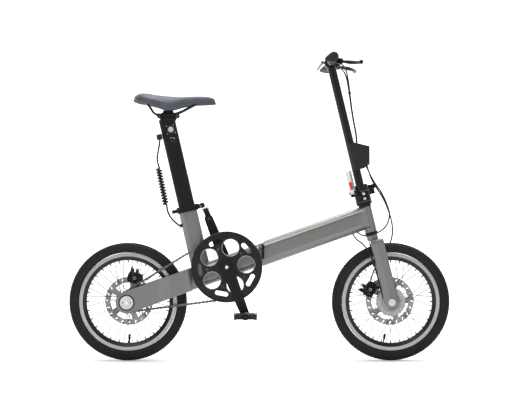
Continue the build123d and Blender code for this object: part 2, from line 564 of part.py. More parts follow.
# Fork ------------------------------------------------------------------------------
cup_low, cup_high = HEAD_BOTTOM - CUP_H - GAP, HEAD_TOP + CUP_H + GAP
crown = box(STEER, (FORK_OFFSET - 20, FORK_OFFSET + 20), (-LEG_INNER, LEG_INNER),
            (CROWN_BOTTOM, CROWN_TOP))
crown += rod(STEER, 19, CROWN_TOP, cup_low) + rod(STEER, STEERER_R, CROWN_TOP, STEM_HINGE - 4)
nodes["fork_crown"] = crown
legs = []
for side in (-1, 1):
    low, high = sorted((side * LEG_INNER, side * LEG_OUTER))
    leg = box(STEER, (FORK_OFFSET - LEG_W / 2, FORK_OFFSET + LEG_W / 2), (low, high), (0, CROWN_TOP))
    leg += rod(front_place, 25, low, high)
    leg -= rod(front_place, AXLE_R, -100, 100)
    legs.append(largest(leg))
nodes["fork_legs"] = Compound(children=legs)
axle = rod(front_place, AXLE_R, -76, 76)
for low, high in ((-74, -LEG_OUTER), (LEG_OUTER, 74)):
    axle += rod(front_place, 11.6, low, high)
nodes["front_axle"] = axle

hinge_lower = rod(STEER, 26, cup_high, STEM_HINGE) + box(
    FOLD, (0, STEM_PIN), (-22, 22), (STEM_HINGE - 24, STEM_HINGE))
hinge_lower += box(FOLD, (-STEM_PIN, 0), (-14, 14), (STEM_HINGE - 20, STEM_HINGE))
pin_line = FOLD * Pos(STEM_PIN, 0, STEM_HINGE) * Rot(90, 0, 0)
latch_line = FOLD * Pos(-STEM_PIN, 0, STEM_HINGE - 6) * Rot(90, 0, 0)
for low, high in ((-22, -8.3), (8.3, 22)):
    hinge_lower += rod(pin_line, 8, low, high)
hinge_lower -= rod(pin_line, 8 + GAP, -8.3, 8.3)
hinge_lower += rod(latch_line, 6, -14, 14)
hinge_lower -= box(FOLD, (-60, -29), (-9.3, 9.3), (STEM_HINGE - 40, STEM_HINGE + 10))
hinge_lower += rod(latch_line, 3, -14, 14)
hinge_lower += rod(pin_line, 3.5, -22, 22)
hinge_lower -= rod(STEER, STEERER_R, 200, STEM_HINGE - 4)
nodes["stem_hinge_lower"] = largest(hinge_lower)

upper = rod(STEER, 25, STEM_HINGE + GAP, STEM_HINGE + 14)
upper += box(FOLD, (0, STEM_PIN), (-8, 8), (STEM_HINGE + GAP, STEM_HINGE + 8))
upper += rod(pin_line, 8, -8, 8)
for low, high in ((-22.6, -8.0), (8.0, 22.6)):
    upper -= rod(pin_line, 8 + GAP, low, high)
upper -= rod(pin_line, 3.5 + RUN, -30, 30)
upper += box(FOLD, (-33, -20), (-9, 9), (STEM_HINGE + GAP, STEM_HINGE + 10))
upper += rod(STEER, POST_R, STEM_HINGE + 14, POST_TOP)
upper -= rod(STEER, POST_R - POST_WALL, STEM_HINGE + 8, POST_TOP + 1)
stem_post = largest(upper)
nodes["stem_post"] = stem_post
latch = rod(latch_line, 6, -9, 9) + box(
    FOLD, (-STEM_PIN - 6, -STEM_PIN + 4), (-9, 9), (STEM_HINGE - 6, STEM_HINGE + 67))
nodes["stem_latch_lever"] = latch - rod(latch_line, 3 + RUN, -20, 20)

front_bracket = prism(STEER, [(-4, 52), (FORK_OFFSET + 6, 60), (FORK_OFFSET + 6, 84),
                              (-66, 66), (-72, 40), (-50, 30)], 44, LEG_INNER)
nodes["front_caliper"] = largest(caliper(FRONT, (-66, 38.5), 40, front_bracket)
                                 - legs[1] - rod(front_place, 82, 38, 42))

box_outline = [(-6, 156), (12.4, 156), (60, 132), (46, 73), (24, 65), (-6, 65)]
STEM = STEER * Pos(0, 0, STEM_HINGE)
cable_box = prism(STEM, box_outline, -30, 30) - rod(STEM, POST_R, 15, 315)
nodes["cable_box"] = largest(cable_box)

bar_line = across(STEER_PLANE.from_local_coords((0, 0, BAR_S)))
clamp = rod(bar_line, 20, -23, 23) + rod(STEER, POST_R, POST_TOP, BAR_S)
clamp += rod(STEER, POST_R - POST_WALL, POST_TOP - 25, POST_TOP)
clamp -= rod(bar_line, BAR_R + RUN, -40, 40)
clamp -= stem_post
QR_X = -27.0                     # the lever's hub clears the clamp all the way round
qr_line = bar_line * Pos(QR_X, 0, 0)
clamp += box(bar_line, (QR_X, -16), (-4, 4), (-5, 5)) + rod(qr_line, 3, -12, 12)
nodes["bar_clamp"] = largest(clamp)
qr = rod(qr_line, 6, -12, 12) + qr_line * Rot(0, 0, 125) * box(
    Pos(0, 0, 0), (0, 30), (-4, 4), (-8, 8))
qr -= rod(qr_line, 3 + RUN, -20, 20)
qr -= rod(qr_line, 6.5, -5.3, 5.3) + box(qr_line, (0, 30), (-6, 6), (-5.3, 5.3))
nodes["bar_clamp_lever"] = largest(qr - rod(bar_line, 20.3, -30, 30))

# Handlebar -------------------------------------------------------------------------
handlebar = rod(bar_line, BAR_R, -60, 60)
for low, high in ((-BAR_HALF, -60), (60, BAR_HALF)):
    handlebar += rod(bar_line, BAR_END_R, low, high)
nodes["handlebar"] = handlebar
grip_outline = make_hull([*Circle(GRIP_R).edges(), *(Pos(-20, 7) * Circle(8)).edges()])
GRIP_FROM = BAR_HALF - GRIP_L
grips, perches = [], []
for side in (-1, 1):
    low, high = sorted((side * GRIP_FROM, side * (BAR_HALF + 3)))
    grip = bar_line * Pos(0, 0, low) * extrude(grip_outline, high - low)
    grips.append(grip - rod(bar_line, BAR_END_R, -BAR_HALF, BAR_HALF))
    low, high = sorted((side * 112, side * 142))
    perch = rod(bar_line, 16, low, high)
    perch += box(BAR, (6, 36), sorted((side * 112, side * 138)), (-9, 9))
    pivot = BAR * Pos(30, side * 128, 0)
    perch -= rod(bar_line, BAR_END_R, -200, 200)
    perch -= box(BAR, (21, 50), sorted((side * 118, side * 150)), (-5.3, 5.3))
    perch += rod(pivot, 3, -9, 9)
    perches.append(largest(perch))
    blade = [(30, 128), (66, 146), (88, 186), (92, 226)]
    path = FilletPolyline(*[(x, side * y) for x, y in blade], radius=16)
    width = trace(path, line_width=11)
    lever = BAR * extrude(width, 4, both=True) - rod(pivot, 3 + RUN, -20, 20)
    lever += BAR * Pos(30, side * 128, 0) * (Cylinder(6.5, 8) - Cylinder(3 + RUN, 20))
    nodes[("right" if side < 0 else "left") + "_brake_lever"] = max(
        lever.solids(), key=lambda s: s.volume)
nodes["grips"] = Compound(children=grips)
nodes["brake_perches"] = Compound(children=perches)

# Cables ----------------------------------------------------------------------------
# Points are (ahead, left, up): from the bar, from the stem's fold plane along the steering
# axis, or from the crown of the fork.
def at_stem(*points):
    return [STEER_PLANE.from_local_coords((x, y, STEM_HINGE + s)) for x, y, s in points]


def at_crown(*points):
    return [STEER_PLANE.from_local_coords((x, y, CROWN_TOP + s)) for x, y, s in points]


upper_cables = []
UPPER = [(30.9, 88, 412.9), (41.2, 60, 396.1), (42.5, 34, 362.8), (38.1, 20, 318.7),
         (32.2, 14, 268.6), (28.4, 12, 214), (27.8, 11, 177.2), (20.8, 10.5, 143.9)]
for side in (-1, 1):
    route = [BAR.position + Vector(30, side * 112, -4)]
    route += at_stem(*[(x, side * y, s) for x, y, s in UPPER])
    upper_cables.append(largest(cord(route, CABLE_R) - cable_box - perches[0] - perches[1]))
nodes["upper_cables"] = Compound(children=upper_cables)

rear_route = at_stem((33.6, -16, 72.9), (42.3, -19, 23.5), (62.1, -25, -22.4), (72, -29, -71),
                     (69.3, -32, -112.5), (50.1, -34, -140.9), (19.4, -35, -153),
                     (-13.3, -34, -156.5), (-36.1, -26, -148.9), (-48.4, -15, -131.6))
nodes["rear_brake_cable"] = largest(cord(rear_route, CABLE_R) - cable_box - front)
front_route = at_stem((38.9, 12, 77.8), (39.3, 16, 36.6), (51.8, 24, -5.5), (68.2, 32, -48.5),
                      (76.4, 42, -99.9))
front_route += at_crown((78.3, 58, 29.5), (67.5, 72, -11.1), (44.1, 77, -44.6), (10.4, 75, -73.5),
                        (-19.9, 70, -105.3), (-37.6, 60, -131.9), (-46.6, 52, -156.5))
nodes["front_brake_cable"] = largest(
    cord(front_route, CABLE_R) - cable_box - nodes["front_caliper"])
motor_route = at_stem((-63, -8, -132.2), (-56.4, -17, -156.4), (-39.8, -34, -172.7))
motor_route += at_crown((-28, -54, -24), (-20, -60, -52), (-17, -59, -102), (-16, -59, -152),
                        (-15, -58, -198))
nodes["motor_cable"] = largest(cord(motor_route, CABLE_R) - front - legs[0])

os.makedirs("parts", exist_ok=True)
for name, shape in nodes.items():
    shape.label = name
    export_step(shape, f"parts/{name}.step")
print(len(nodes), "nodes written")
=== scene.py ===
import json
import math

import bmesh
import bpy
from mathutils import Matrix, Vector


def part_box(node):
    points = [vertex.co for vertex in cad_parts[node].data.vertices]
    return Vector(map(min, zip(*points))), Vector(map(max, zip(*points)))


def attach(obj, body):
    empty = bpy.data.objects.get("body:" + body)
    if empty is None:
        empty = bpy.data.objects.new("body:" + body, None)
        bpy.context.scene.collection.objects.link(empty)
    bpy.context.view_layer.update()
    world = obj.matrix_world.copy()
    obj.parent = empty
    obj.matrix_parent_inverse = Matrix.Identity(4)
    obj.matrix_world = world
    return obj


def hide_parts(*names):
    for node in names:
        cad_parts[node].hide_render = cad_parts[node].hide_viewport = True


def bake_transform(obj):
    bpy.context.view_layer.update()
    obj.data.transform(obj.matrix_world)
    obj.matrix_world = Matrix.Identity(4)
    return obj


bl_info = {
    "name": "Folding bicycle looks",
    "version": (1, 0, 0),
    "blender": (4, 5, 0),
    "location": "3D View > Sidebar > Bicycle",
    "description": "Finishes, soft parts, cables and small parts of a folding bicycle",
    "category": "Object",
}

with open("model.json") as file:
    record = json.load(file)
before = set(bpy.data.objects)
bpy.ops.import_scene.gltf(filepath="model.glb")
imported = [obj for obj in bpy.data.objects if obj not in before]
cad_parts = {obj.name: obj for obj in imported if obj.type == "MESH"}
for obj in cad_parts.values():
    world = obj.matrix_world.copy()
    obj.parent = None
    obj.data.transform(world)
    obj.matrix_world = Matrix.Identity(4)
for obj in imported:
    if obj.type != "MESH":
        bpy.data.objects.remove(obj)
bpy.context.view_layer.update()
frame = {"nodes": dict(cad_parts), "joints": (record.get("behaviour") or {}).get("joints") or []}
MM = 0.001
Y_AXIS = Vector((0, 1, 0))
FORWARD = (1, 0, 0)
SIDES = ((-1, "right"), (1, "left"))


# Places on the bicycle ---------------------------------------------------------------
def middle(node):
    low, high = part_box(node)
    return (low + high) / 2


def place(origin, x_dir, z_dir):
    """A matrix with its z along z_dir and its x as near x_dir as it can be."""
    z = Vector(z_dir).normalized()
    y = z.cross(Vector(x_dir)).normalized()
    x = y.cross(z)
    matrix = Matrix((x, y, z)).transposed().to_4x4()
    matrix.translation = origin
    return matrix


def shift(x, y, z):
    return Matrix.Translation((x, y, z))


def in_mm(x, y, z):
    """A point given in mm, in metres."""
    return Vector((x, y, z)) * MM


JOINTS = {j["name"]: j for j in frame["joints"]}


def joint_axis(name):
    return Vector(JOINTS[name]["axis"]).normalized()


REAR, FRONT = middle("rear_tyre"), middle("front_tyre")
REAR.y = FRONT.y = 0.0
TYRE_R = FRONT.z
STEER_S = joint_axis("steering")
BAR_CENTRE = Vector(JOINTS["bar_rotate"]["pos_m"])
BAR_TILT = math.radians(8)
STEER_X = Y_AXIS.cross(STEER_S)
SEAT_T = joint_axis("seat_height")
SEAT_F = Y_AXIS.cross(SEAT_T)
BB = Vector(JOINTS["crank_spin"]["pos_m"])
BAR_S = 816 * MM
STEER = place(BAR_CENTRE - STEER_S * BAR_S, STEER_X, STEER_S)
BEAM_LINE = (BB - REAR).normalized()
SEAT_FOOT = Vector((-188 * MM, 0, 282 * MM))
SEAT = place(SEAT_FOOT, SEAT_F, SEAT_T)


def wheel_place(centre):
    """z along +Y, x forward."""
    return place(centre, FORWARD, (0, 1, 0))


# Sizes and colours a user may change ---------------------------------------------------
def length(text, default):
    return bpy.props.FloatProperty(name=text, description=text, default=default,
                                   subtype="DISTANCE", unit="LENGTH")


def colour(text, default):
    return bpy.props.FloatVectorProperty(name=text, description=text, default=default,
                                         subtype="COLOR", size=3, min=0, max=1)


class BikeSizes(bpy.types.PropertyGroup):
    tread_height: length("Height of the tread blocks", 0.0012)
    tread_count: bpy.props.IntProperty(name="Tread blocks in a row",
                                       description="Blocks around the tyre", default=96)
    cable_diameter: length("Diameter of the brake cables", 0.005)
    coil_turns: bpy.props.IntProperty(name="Coil turns", default=13,
                                      description="Turns of the coiled lead")
    coil_diameter: length("Outer diameter of the coiled lead", 0.022)
    lead_diameter: length("Diameter of the lead's wire", 0.006)


class BikeColours(bpy.types.PropertyGroup):
    paint: colour("Frame paint", (0.165, 0.162, 0.155))
    black: colour("Black metal", (0.007, 0.007, 0.0075))
    saddle: colour("Saddle skin", (0.052, 0.057, 0.074))
    tyre: colour("Tyre rubber", (0.011, 0.011, 0.012))
    silver: colour("Silver parts", (0.62, 0.63, 0.65))
    amber: colour("Reflectors", (0.75, 0.16, 0.01))


def sizes():
    return bpy.context.scene.bike_sizes


def colours():
    return bpy.context.scene.bike_colours


# Materials ------------------------------------------------------------------------------
class Nodes:
    """Small helper that adds and links shader nodes."""

    def __init__(self, name):
        self.material = bpy.data.materials.new(name)
        self.material.use_nodes = True
        self.tree = self.material.node_tree
        self.shader = self.tree.nodes["Principled BSDF"]
        self.coords = self.add("ShaderNodeTexCoord").outputs["Object"]

    def add(self, kind, **values):
        node = self.tree.nodes.new(kind)
        for key, value in values.items():
            setattr(node, key, value)
        return node

    def link(self, a, b):
        self.tree.links.new(a, b)

    def noise(self, scale, detail=4.0, stretch=None):
        node = self.add("ShaderNodeTexNoise")
        node.inputs["Scale"].default_value = scale
        node.inputs["Detail"].default_value = detail
        source = self.coords
        if stretch:
            mapping = self.add("ShaderNodeMapping")
            mapping.inputs["Scale"].default_value = stretch
            self.link(source, mapping.inputs["Vector"])
            source = mapping.outputs["Vector"]
        self.link(source, node.inputs["Vector"])
        return node.outputs["Fac"]

    def cells(self, scale, **values):
        node = self.add("ShaderNodeTexVoronoi", **values)
        node.inputs["Scale"].default_value = scale
        self.link(self.coords, node.inputs["Vector"])
        return node

    def colour(self, source, stops):
        """A ramp into the base colour."""
        self.link(self.ramp(source, stops), self.shader.inputs["Base Color"])

    def ramp(self, source, stops):
        node = self.add("ShaderNodeValToRGB")
        while len(node.color_ramp.elements) < len(stops):
            node.color_ramp.elements.new(0.5)
        for element, (position, rgb) in zip(node.color_ramp.elements, stops):
            element.position = position
            element.color = (*rgb, 1)
        self.link(source, node.inputs["Fac"])
        return node.outputs["Color"]

    def spread(self, source, low, high, from_low=0.3, from_high=0.7):
        node = self.add("ShaderNodeMapRange")
        for key, value in (("From Min", from_low), ("From Max", from_high),
                           ("To Min", low), ("To Max", high)):
            node.inputs[key].default_value = value
        self.link(source, node.inputs["Value"])
        return node.outputs["Result"]

    def bump(self, source, strength, distance):
        node = self.add("ShaderNodeBump")
        node.inputs["Strength"].default_value = strength
        node.inputs["Distance"].default_value = distance
        self.link(source, node.inputs["Height"])
        self.link(node.outputs["Normal"], self.shader.inputs["Normal"])

    def set(self, **values):
        for key, value in values.items():
            self.shader.inputs[key.replace("_", " ")].default_value = value


def tint(rgb, factor):
    return tuple(min(1.0, c * factor) for c in rgb)


def finish(name, rgb, rough, metal, grain, bump, vary=0.12, stretch=None, **extra):
    """A finish with fine grain, colour drift and uneven gloss."""
    n = Nodes(name)
    fine, broad = n.noise(grain, 6.0, stretch), n.noise(9.0, 3.0)
    n.colour(broad, [(0.35, tint(rgb, 1 - vary)), (0.65, tint(rgb, 1 + vary))])
    n.link(n.spread(fine, rough * 0.8, min(1.0, rough * 1.25)), n.shader.inputs["Roughness"])
    n.bump(fine, bump, 0.0002)
    n.set(Metallic=metal, **extra)
    return n.material


def paint_finish():
    """Metallic lacquer: fine flakes under a clear coat."""
    n = Nodes("metallic_lacquer")
    flakes = n.cells(2600)
    rgb = tuple(colours().paint)
    n.colour(flakes.outputs["Distance"], [(0.1, tint(rgb, 1.35)), (0.7, tint(rgb, 0.88))])
    n.link(n.spread(n.noise(60), 0.30, 0.40), n.shader.inputs["Roughness"])
    n.bump(n.noise(260, 2.0), 0.03, 0.0002)
    n.set(Metallic=0.55, Coat_Weight=0.45, Coat_Roughness=0.12)
    return n.material


def rim_finish(centre):
    """A machined silver band outside and black inside, told apart by the radius."""
    n = Nodes("rim_two_tone")
    mapping = n.add("ShaderNodeMapping")
    mapping.inputs["Location"].default_value = (-centre.x, 0, -centre.z)
    mapping.inputs["Scale"].default_value = (1, 0, 1)
    n.link(n.coords, mapping.inputs["Vector"])
    size = n.add("ShaderNodeVectorMath", operation="LENGTH")
    n.link(mapping.outputs["Vector"], size.inputs[0])
    band = n.spread(size.outputs["Value"], 0, 1, 0.1497, 0.1501)
    silver, black = tuple(colours().silver), tuple(colours().black)
    n.colour(band, [(0.0, black), (1.0, tint(silver, 0.62))])
    grooves = n.add("ShaderNodeMath", operation="SINE")
    scaled = n.add("ShaderNodeMath", operation="MULTIPLY")
    scaled.inputs[1].default_value = 9000
    n.link(size.outputs["Value"], scaled.inputs[0])
    n.link(scaled.outputs[0], grooves.inputs[0])
    n.bump(grooves.outputs[0], 0.12, 0.0001)
    n.link(n.spread(band, 0.35, 0.22, 0, 1), n.shader.inputs["Roughness"])
    n.link(n.spread(band, 0.3, 0.7, 0, 1), n.shader.inputs["Metallic"])
    return n.material


def leather_finish():
    n = Nodes("saddle_skin")
    cells = n.cells(900)
    rgb = tuple(colours().saddle)
    n.colour(n.noise(30), [(0.3, tint(rgb, 0.85)), (0.7, tint(rgb, 1.18))])
    n.link(n.spread(n.noise(120), 0.42, 0.6), n.shader.inputs["Roughness"])
    n.bump(cells.outputs["Distance"], 0.22, 0.0003)
    n.set(Sheen_Weight=0.05, Specular_IOR_Level=0.35)
    return n.material


def reflector_finish():
    """Moulded amber reflector with small prisms."""
    n = Nodes("amber_reflector")
    cells = n.cells(420, distance="CHEBYCHEV")
    cells.inputs["Randomness"].default_value = 0
    rgb = tuple(colours().amber)
    n.colour(cells.outputs["Distance"], [(0.1, tint(rgb, 1.3)), (0.6, tint(rgb, 0.6))])
    n.bump(cells.outputs["Distance"], 0.6, 0.0008)
    n.set(Roughness=0.15, Coat_Weight=0.6)
    return n.material


made = {}


def plain_finishes():
    """Material name, colour, roughness, metal, grain, bump, and what else is set."""
    black, silver, tyre = (tuple(c) for c in (colours().black, colours().silver, colours().tyre))

    def dull(level):
        return {"Specular_IOR_Level": level}

    return {
        "black": ("black_anodised", black, 0.36, 0.2, 400, 0.05, dull(0.22)),
        "gloss_black": ("black_gloss", black, 0.2, 0.1, 200, 0.02, dull(0.3)),
        "silver": ("satin_aluminium", silver, 0.3, 0.9, 500, 0.05, {}),
        "bright": ("polished_steel", (0.72, 0.73, 0.75), 0.16, 1.0, 300, 0.02, {}),
        "steel": ("brushed_steel", (0.42, 0.42, 0.43), 0.3, 1.0, 700, 0.12,
                  {"stretch": (1, 1, 8)}),
        "tyre": ("tyre_rubber", tyre, 0.72, 0.0, 500, 0.2, dull(0.22)),
        "rubber": ("moulded_rubber", (0.012, 0.012, 0.012), 0.6, 0.0, 900, 0.2, dull(0.25)),
        "cable": ("cable_sheath", (0.006, 0.006, 0.007), 0.42, 0.0, 900, 0.08, dull(0.25)),
        "plastic": ("black_plastic", (0.010, 0.010, 0.011), 0.5, 0.0, 700, 0.2, dull(0.28)),
        "dark_steel": ("dark_steel", (0.035, 0.035, 0.036), 0.4, 0.2, 700, 0.1, {}),
        "chain_steel": ("oiled_steel", (0.13, 0.12, 0.11), 0.38, 0.7, 500, 0.12, {"vary": 0.3}),
        "rotor": ("ground_steel", (0.30, 0.30, 0.31), 0.32, 0.75, 600, 0.15, {}),
        "alloy": ("cast_alloy", (0.38, 0.385, 0.395), 0.38, 0.6, 350, 0.15, {}),
        "red": ("red_plastic", (0.55, 0.02, 0.015), 0.35, 0.0, 500, 0.05, {}),
        "white": ("white_enamel", (0.75, 0.76, 0.77), 0.3, 0.1, 400, 0.03, {}),
    }


def mat(name):
    """Each finish is made once and shared."""
    if name not in made:
        special = {"paint": paint_finish, "leather": leather_finish, "amber": reflector_finish,
                   "rear_rim": lambda: rim_finish(REAR), "front_rim": lambda: rim_finish(FRONT)}
        if name in special:
            made[name] = special[name]()
        else:
            *values, extra = plain_finishes()[name]
            made[name] = finish(*values, **extra)
    return made[name]


def dress(finish_name, *nodes):
    """Gives carried-over CAD nodes their finish."""
    for node in nodes:
        mesh = frame["nodes"][node].data
        mesh.materials.clear()
        mesh.materials.append(mat(finish_name))


# Mesh helpers ---------------------------------------------------------------------------
def piece(name, mesh, finish_name, body=None, smooth=True):
    """Links a mesh as a piece that rides on a body."""
    mesh.materials.clear()
    mesh.materials.append(mat(finish_name))
    for polygon in mesh.polygons:
        polygon.use_smooth = smooth
    thing = bpy.data.objects.new(name, mesh)
    bpy.context.scene.collection.objects.link(thing)
    if body:
        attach(thing, body)
    return thing


def tidy(bm, name, weld=1e-6):
    bmesh.ops.remove_doubles(bm, verts=bm.verts, dist=weld)
    bmesh.ops.recalc_face_normals(bm, faces=bm.faces)
    mesh = bpy.data.meshes.new(name)
    bm.to_mesh(mesh)
    bm.free()
    return mesh


def lathe(profile, steps, matrix, closed=False):
    """A revolved outline of (radius, height) pairs about the place's z."""
    bm = bmesh.new()
    rings = []
    for i in range(steps):
        a = math.tau * i / steps
        rings.append([bm.verts.new(matrix @ Vector((r * math.cos(a), r * math.sin(a), z)))
                      for r, z in profile])
    spans = len(profile) if closed else len(profile) - 1
    for i in range(steps):
        a, b = rings[i], rings[(i + 1) % steps]
        for j in range(spans):
            k = (j + 1) % len(profile)
            bm.faces.new((a[j], b[j], b[k], a[k]))
    return tidy(bm, "lathe")


def loft(sections, caps=True):
    """A skin over rings of points that all have the same count."""
    bm = bmesh.new()
    rings = [[bm.verts.new(p) for p in ring] for ring in sections]
    count = len(rings[0])
    for a, b in zip(rings, rings[1:]):
        for j in range(count):
            bm.faces.new((a[j], a[(j + 1) % count], b[(j + 1) % count], b[j]))
    if caps:
        bm.faces.new(rings[0][::-1])
        bm.faces.new(rings[-1])
    return tidy(bm, "loft")


def rounded(width, height, corner, steps=6):
    """Points of a rounded rectangle in x and y."""
    points = []
    for cx, cy, start in ((1, 1, 0), (-1, 1, 90), (-1, -1, 180), (1, -1, 270)):
        for i in range(steps + 1):
            a = math.radians(start + 90 * i / steps)
            points.append(((width / 2 - corner) * cx + corner * math.cos(a),
                           (height / 2 - corner) * cy + corner * math.sin(a)))
    return points


def block(matrix, size, bevel=0.001, segments=2):
    """A box with rounded edges, centred on a place."""
    bm = bmesh.new()
    bmesh.ops.create_cube(bm, size=1)
    bmesh.ops.scale(bm, vec=size, verts=bm.verts)
    bmesh.ops.bevel(bm, geom=bm.edges[:], offset=bevel, segments=segments, affect="EDGES",
                    profile=0.6)
    bmesh.ops.transform(bm, matrix=matrix, verts=bm.verts)
    return tidy(bm, "block")


def drum(matrix, radius, height, bevel=0.0005, steps=32, bore=0.0):
    """A turned disc or ring with broken edges, centred on a place."""
    h = height / 2
    profile = [(bore, -h), (radius - bevel, -h), (radius, -h + bevel), (radius, h - bevel),
               (radius - bevel, h), (bore, h)]
    return lathe(profile, steps, matrix, closed=bore > 0)


def joined(meshes, name):
    bm = bmesh.new()
    for mesh in meshes:
        bm.from_mesh(mesh)
    whole = bpy.data.meshes.new(name)
    bm.to_mesh(whole)
    bm.free()
    return whole


def evaluated_mesh(thing):
    graph = bpy.context.evaluated_depsgraph_get()
    return bpy.data.meshes.new_from_object(thing.evaluated_get(graph), depsgraph=graph)


def soften(thing, levels):
    """Applies a subdivision surface."""
    modifier = thing.modifiers.new("smooth", "SUBSURF")
    modifier.levels = modifier.render_levels = levels
    mesh = evaluated_mesh(thing)
    thing.modifiers.clear()
    thing.data = mesh
    return thing


# Geometry Nodes ---------------------------------------------------------------------------
class Tree:
    """A geometry tree with named inputs."""

    def __init__(self, name, inputs):
        self.tree = bpy.data.node_groups.new(name, "GeometryNodeTree")
        for label, kind in inputs:
            self.tree.interface.new_socket(label, in_out="INPUT", socket_type=kind)
        self.tree.interface.new_socket("Geometry", in_out="OUTPUT",
                                       socket_type="NodeSocketGeometry")
        self.start = self.tree.nodes.new("NodeGroupInput")
        self.end = self.tree.nodes.new("NodeGroupOutput")

    def add(self, kind, links=(), **values):
        node = self.tree.nodes.new(kind)
        for key, value in values.items():
            setattr(node, key, value)
        for socket, source in dict(links).items():
            self.tree.links.new(source, node.inputs[socket])
        return node

    def given(self, label):
        return self.start.outputs[label]

    def close(self, geometry):
        real = self.add("GeometryNodeRealizeInstances", {"Geometry": geometry})
        painted = self.add("GeometryNodeSetMaterial", {
            "Geometry": real.outputs[0], "Material": self.given("Material")})
        self.tree.links.new(painted.outputs[0], self.end.inputs[0])


def run_tree(tree, values, host):
    """Runs a tree on a host object and returns the plain mesh."""
    modifier = host.modifiers.new("nodes", "NODES")
    modifier.node_group = tree
    for item in tree.interface.items_tree:
        if item.in_out == "INPUT" and item.name in values:
            modifier[item.identifier] = values[item.name]
    mesh = evaluated_mesh(host)
    bpy.data.objects.remove(host)
    return mesh


def ring_tree():
    """Copies of an item, evenly round a circle in the x-y plane."""
    if "ring_of_items" in bpy.data.node_groups:
        return bpy.data.node_groups["ring_of_items"]
    t = Tree("ring_of_items", [("Count", "NodeSocketInt"), ("Radius", "NodeSocketFloat"),
                               ("Item", "NodeSocketObject"), ("Material", "NodeSocketMaterial")])
    circle = t.add("GeometryNodeMeshCircle", {"Vertices": t.given("Count"),
                                              "Radius": t.given("Radius")})
    item = t.add("GeometryNodeObjectInfo", {"Object": t.given("Item")})
    index = t.add("GeometryNodeInputIndex")
    step = t.add("ShaderNodeMath", operation="DIVIDE")
    step.inputs[0].default_value = math.tau
    t.tree.links.new(t.given("Count"), step.inputs[1])
    turn = t.add("ShaderNodeMath", operation="MULTIPLY")
    t.tree.links.new(index.outputs[0], turn.inputs[0])
    t.tree.links.new(step.outputs[0], turn.inputs[1])
    angle = t.add("ShaderNodeCombineXYZ", {"Z": turn.outputs[0]})
    copies = t.add("GeometryNodeInstanceOnPoints", {
        "Points": circle.outputs[0], "Instance": item.outputs["Geometry"],
        "Rotation": angle.outputs[0]})
    t.close(copies.outputs[0])
    return t.tree


def track_tree():
    """Two kinds of link by turns, along a closed line of points."""
    t = Tree("links_on_track", [("Track", "NodeSocketObject"), ("Inner", "NodeSocketObject"),
                                ("Outer", "NodeSocketObject"), ("Material", "NodeSocketMaterial")])
    track = t.add("GeometryNodeObjectInfo", {"Object": t.given("Track")})
    points = t.add("GeometryNodeCurveToPoints", {"Curve": track.outputs["Geometry"]},
                   mode="EVALUATED")
    index = t.add("GeometryNodeInputIndex")
    parity = t.add("ShaderNodeMath", operation="MODULO")
    parity.inputs[1].default_value = 2
    t.tree.links.new(index.outputs[0], parity.inputs[0])
    odd = t.add("FunctionNodeCompare", {"A": parity.outputs[0]}, data_type="FLOAT",
                operation="GREATER_THAN")
    odd.inputs["B"].default_value = 0.5
    even = t.add("FunctionNodeBooleanMath", operation="NOT")
    t.tree.links.new(odd.outputs[0], even.inputs[0])
    tangent = t.add("FunctionNodeAlignRotationToVector", {"Vector": points.outputs["Tangent"]},
                    axis="X")
    join = t.add("GeometryNodeJoinGeometry")
    for label, pick in (("Inner", odd.outputs[0]), ("Outer", even.outputs[0])):
        item = t.add("GeometryNodeObjectInfo", {"Object": t.given(label)})
        copies = t.add("GeometryNodeInstanceOnPoints", {
            "Points": points.outputs["Points"], "Selection": pick,
            "Instance": item.outputs["Geometry"], "Rotation": tangent.outputs[0]})
        t.tree.links.new(copies.outputs[0], join.inputs[0])
    t.close(join.outputs[0])
    return t.tree


def scratch(mesh):
    """A passing object that only feeds a tree or is evaluated into a mesh."""
    thing = bpy.data.objects.new("scratch", mesh)
    bpy.context.scene.collection.objects.link(thing)
    return thing


def ring_of(item_mesh, count, radius, finish_name, matrix, phase=0.0):
    item = scratch(item_mesh)
    mesh = run_tree(ring_tree(), {"Count": count, "Radius": radius, "Item": item,
                                  "Material": mat(finish_name)},
                    scratch(bpy.data.meshes.new("host")))
    bpy.data.objects.remove(item)
    mesh.transform(matrix @ Matrix.Rotation(phase, 4, "Z"))
    return mesh


def hex_bolt(radius, height, bevel=0.0004):
    """A socket-head screw standing along z."""
    return lathe([(0, 0), (radius, 0), (radius, height - bevel), (radius - bevel, height),
                  (radius * 0.55, height), (radius * 0.5, height * 0.45), (0, height * 0.45)],
                 12, Matrix.Identity(4))


def bolt_at(matrix, radius, height):
    """A socket-head screw standing on a place."""
    mesh = hex_bolt(radius, height)
    mesh.transform(matrix)
    return mesh


# Wheels -----------------------------------------------------------------------------------
TYRE_W = 45 * MM
NIPPLE_R, SPOKES = 0.1375, 28
MOTOR_FACE, REAR_ROTOR_FACE, FRONT_ROTOR_FACE = 0.032, 0.046, 0.041    # out from the middle
AXLE_FACE = 0.082                # outside of the rear arms


def tyre_mesh(centre):
    """Casing with a shoulder, a centre ridge and beads that sit on the rim."""
    crown, half = TYRE_R - TYRE_W / 2, TYRE_W / 2 - sizes().tread_height
    profile = []
    for i in range(25):
        a = math.radians(-118 + 236 * i / 24)
        swell = 1 - 0.02 * math.cos(3 * a)
        profile.append((crown + half * swell * math.cos(a), half * math.sin(a)))
    return lathe(profile, 128, wheel_place(centre), closed=True)


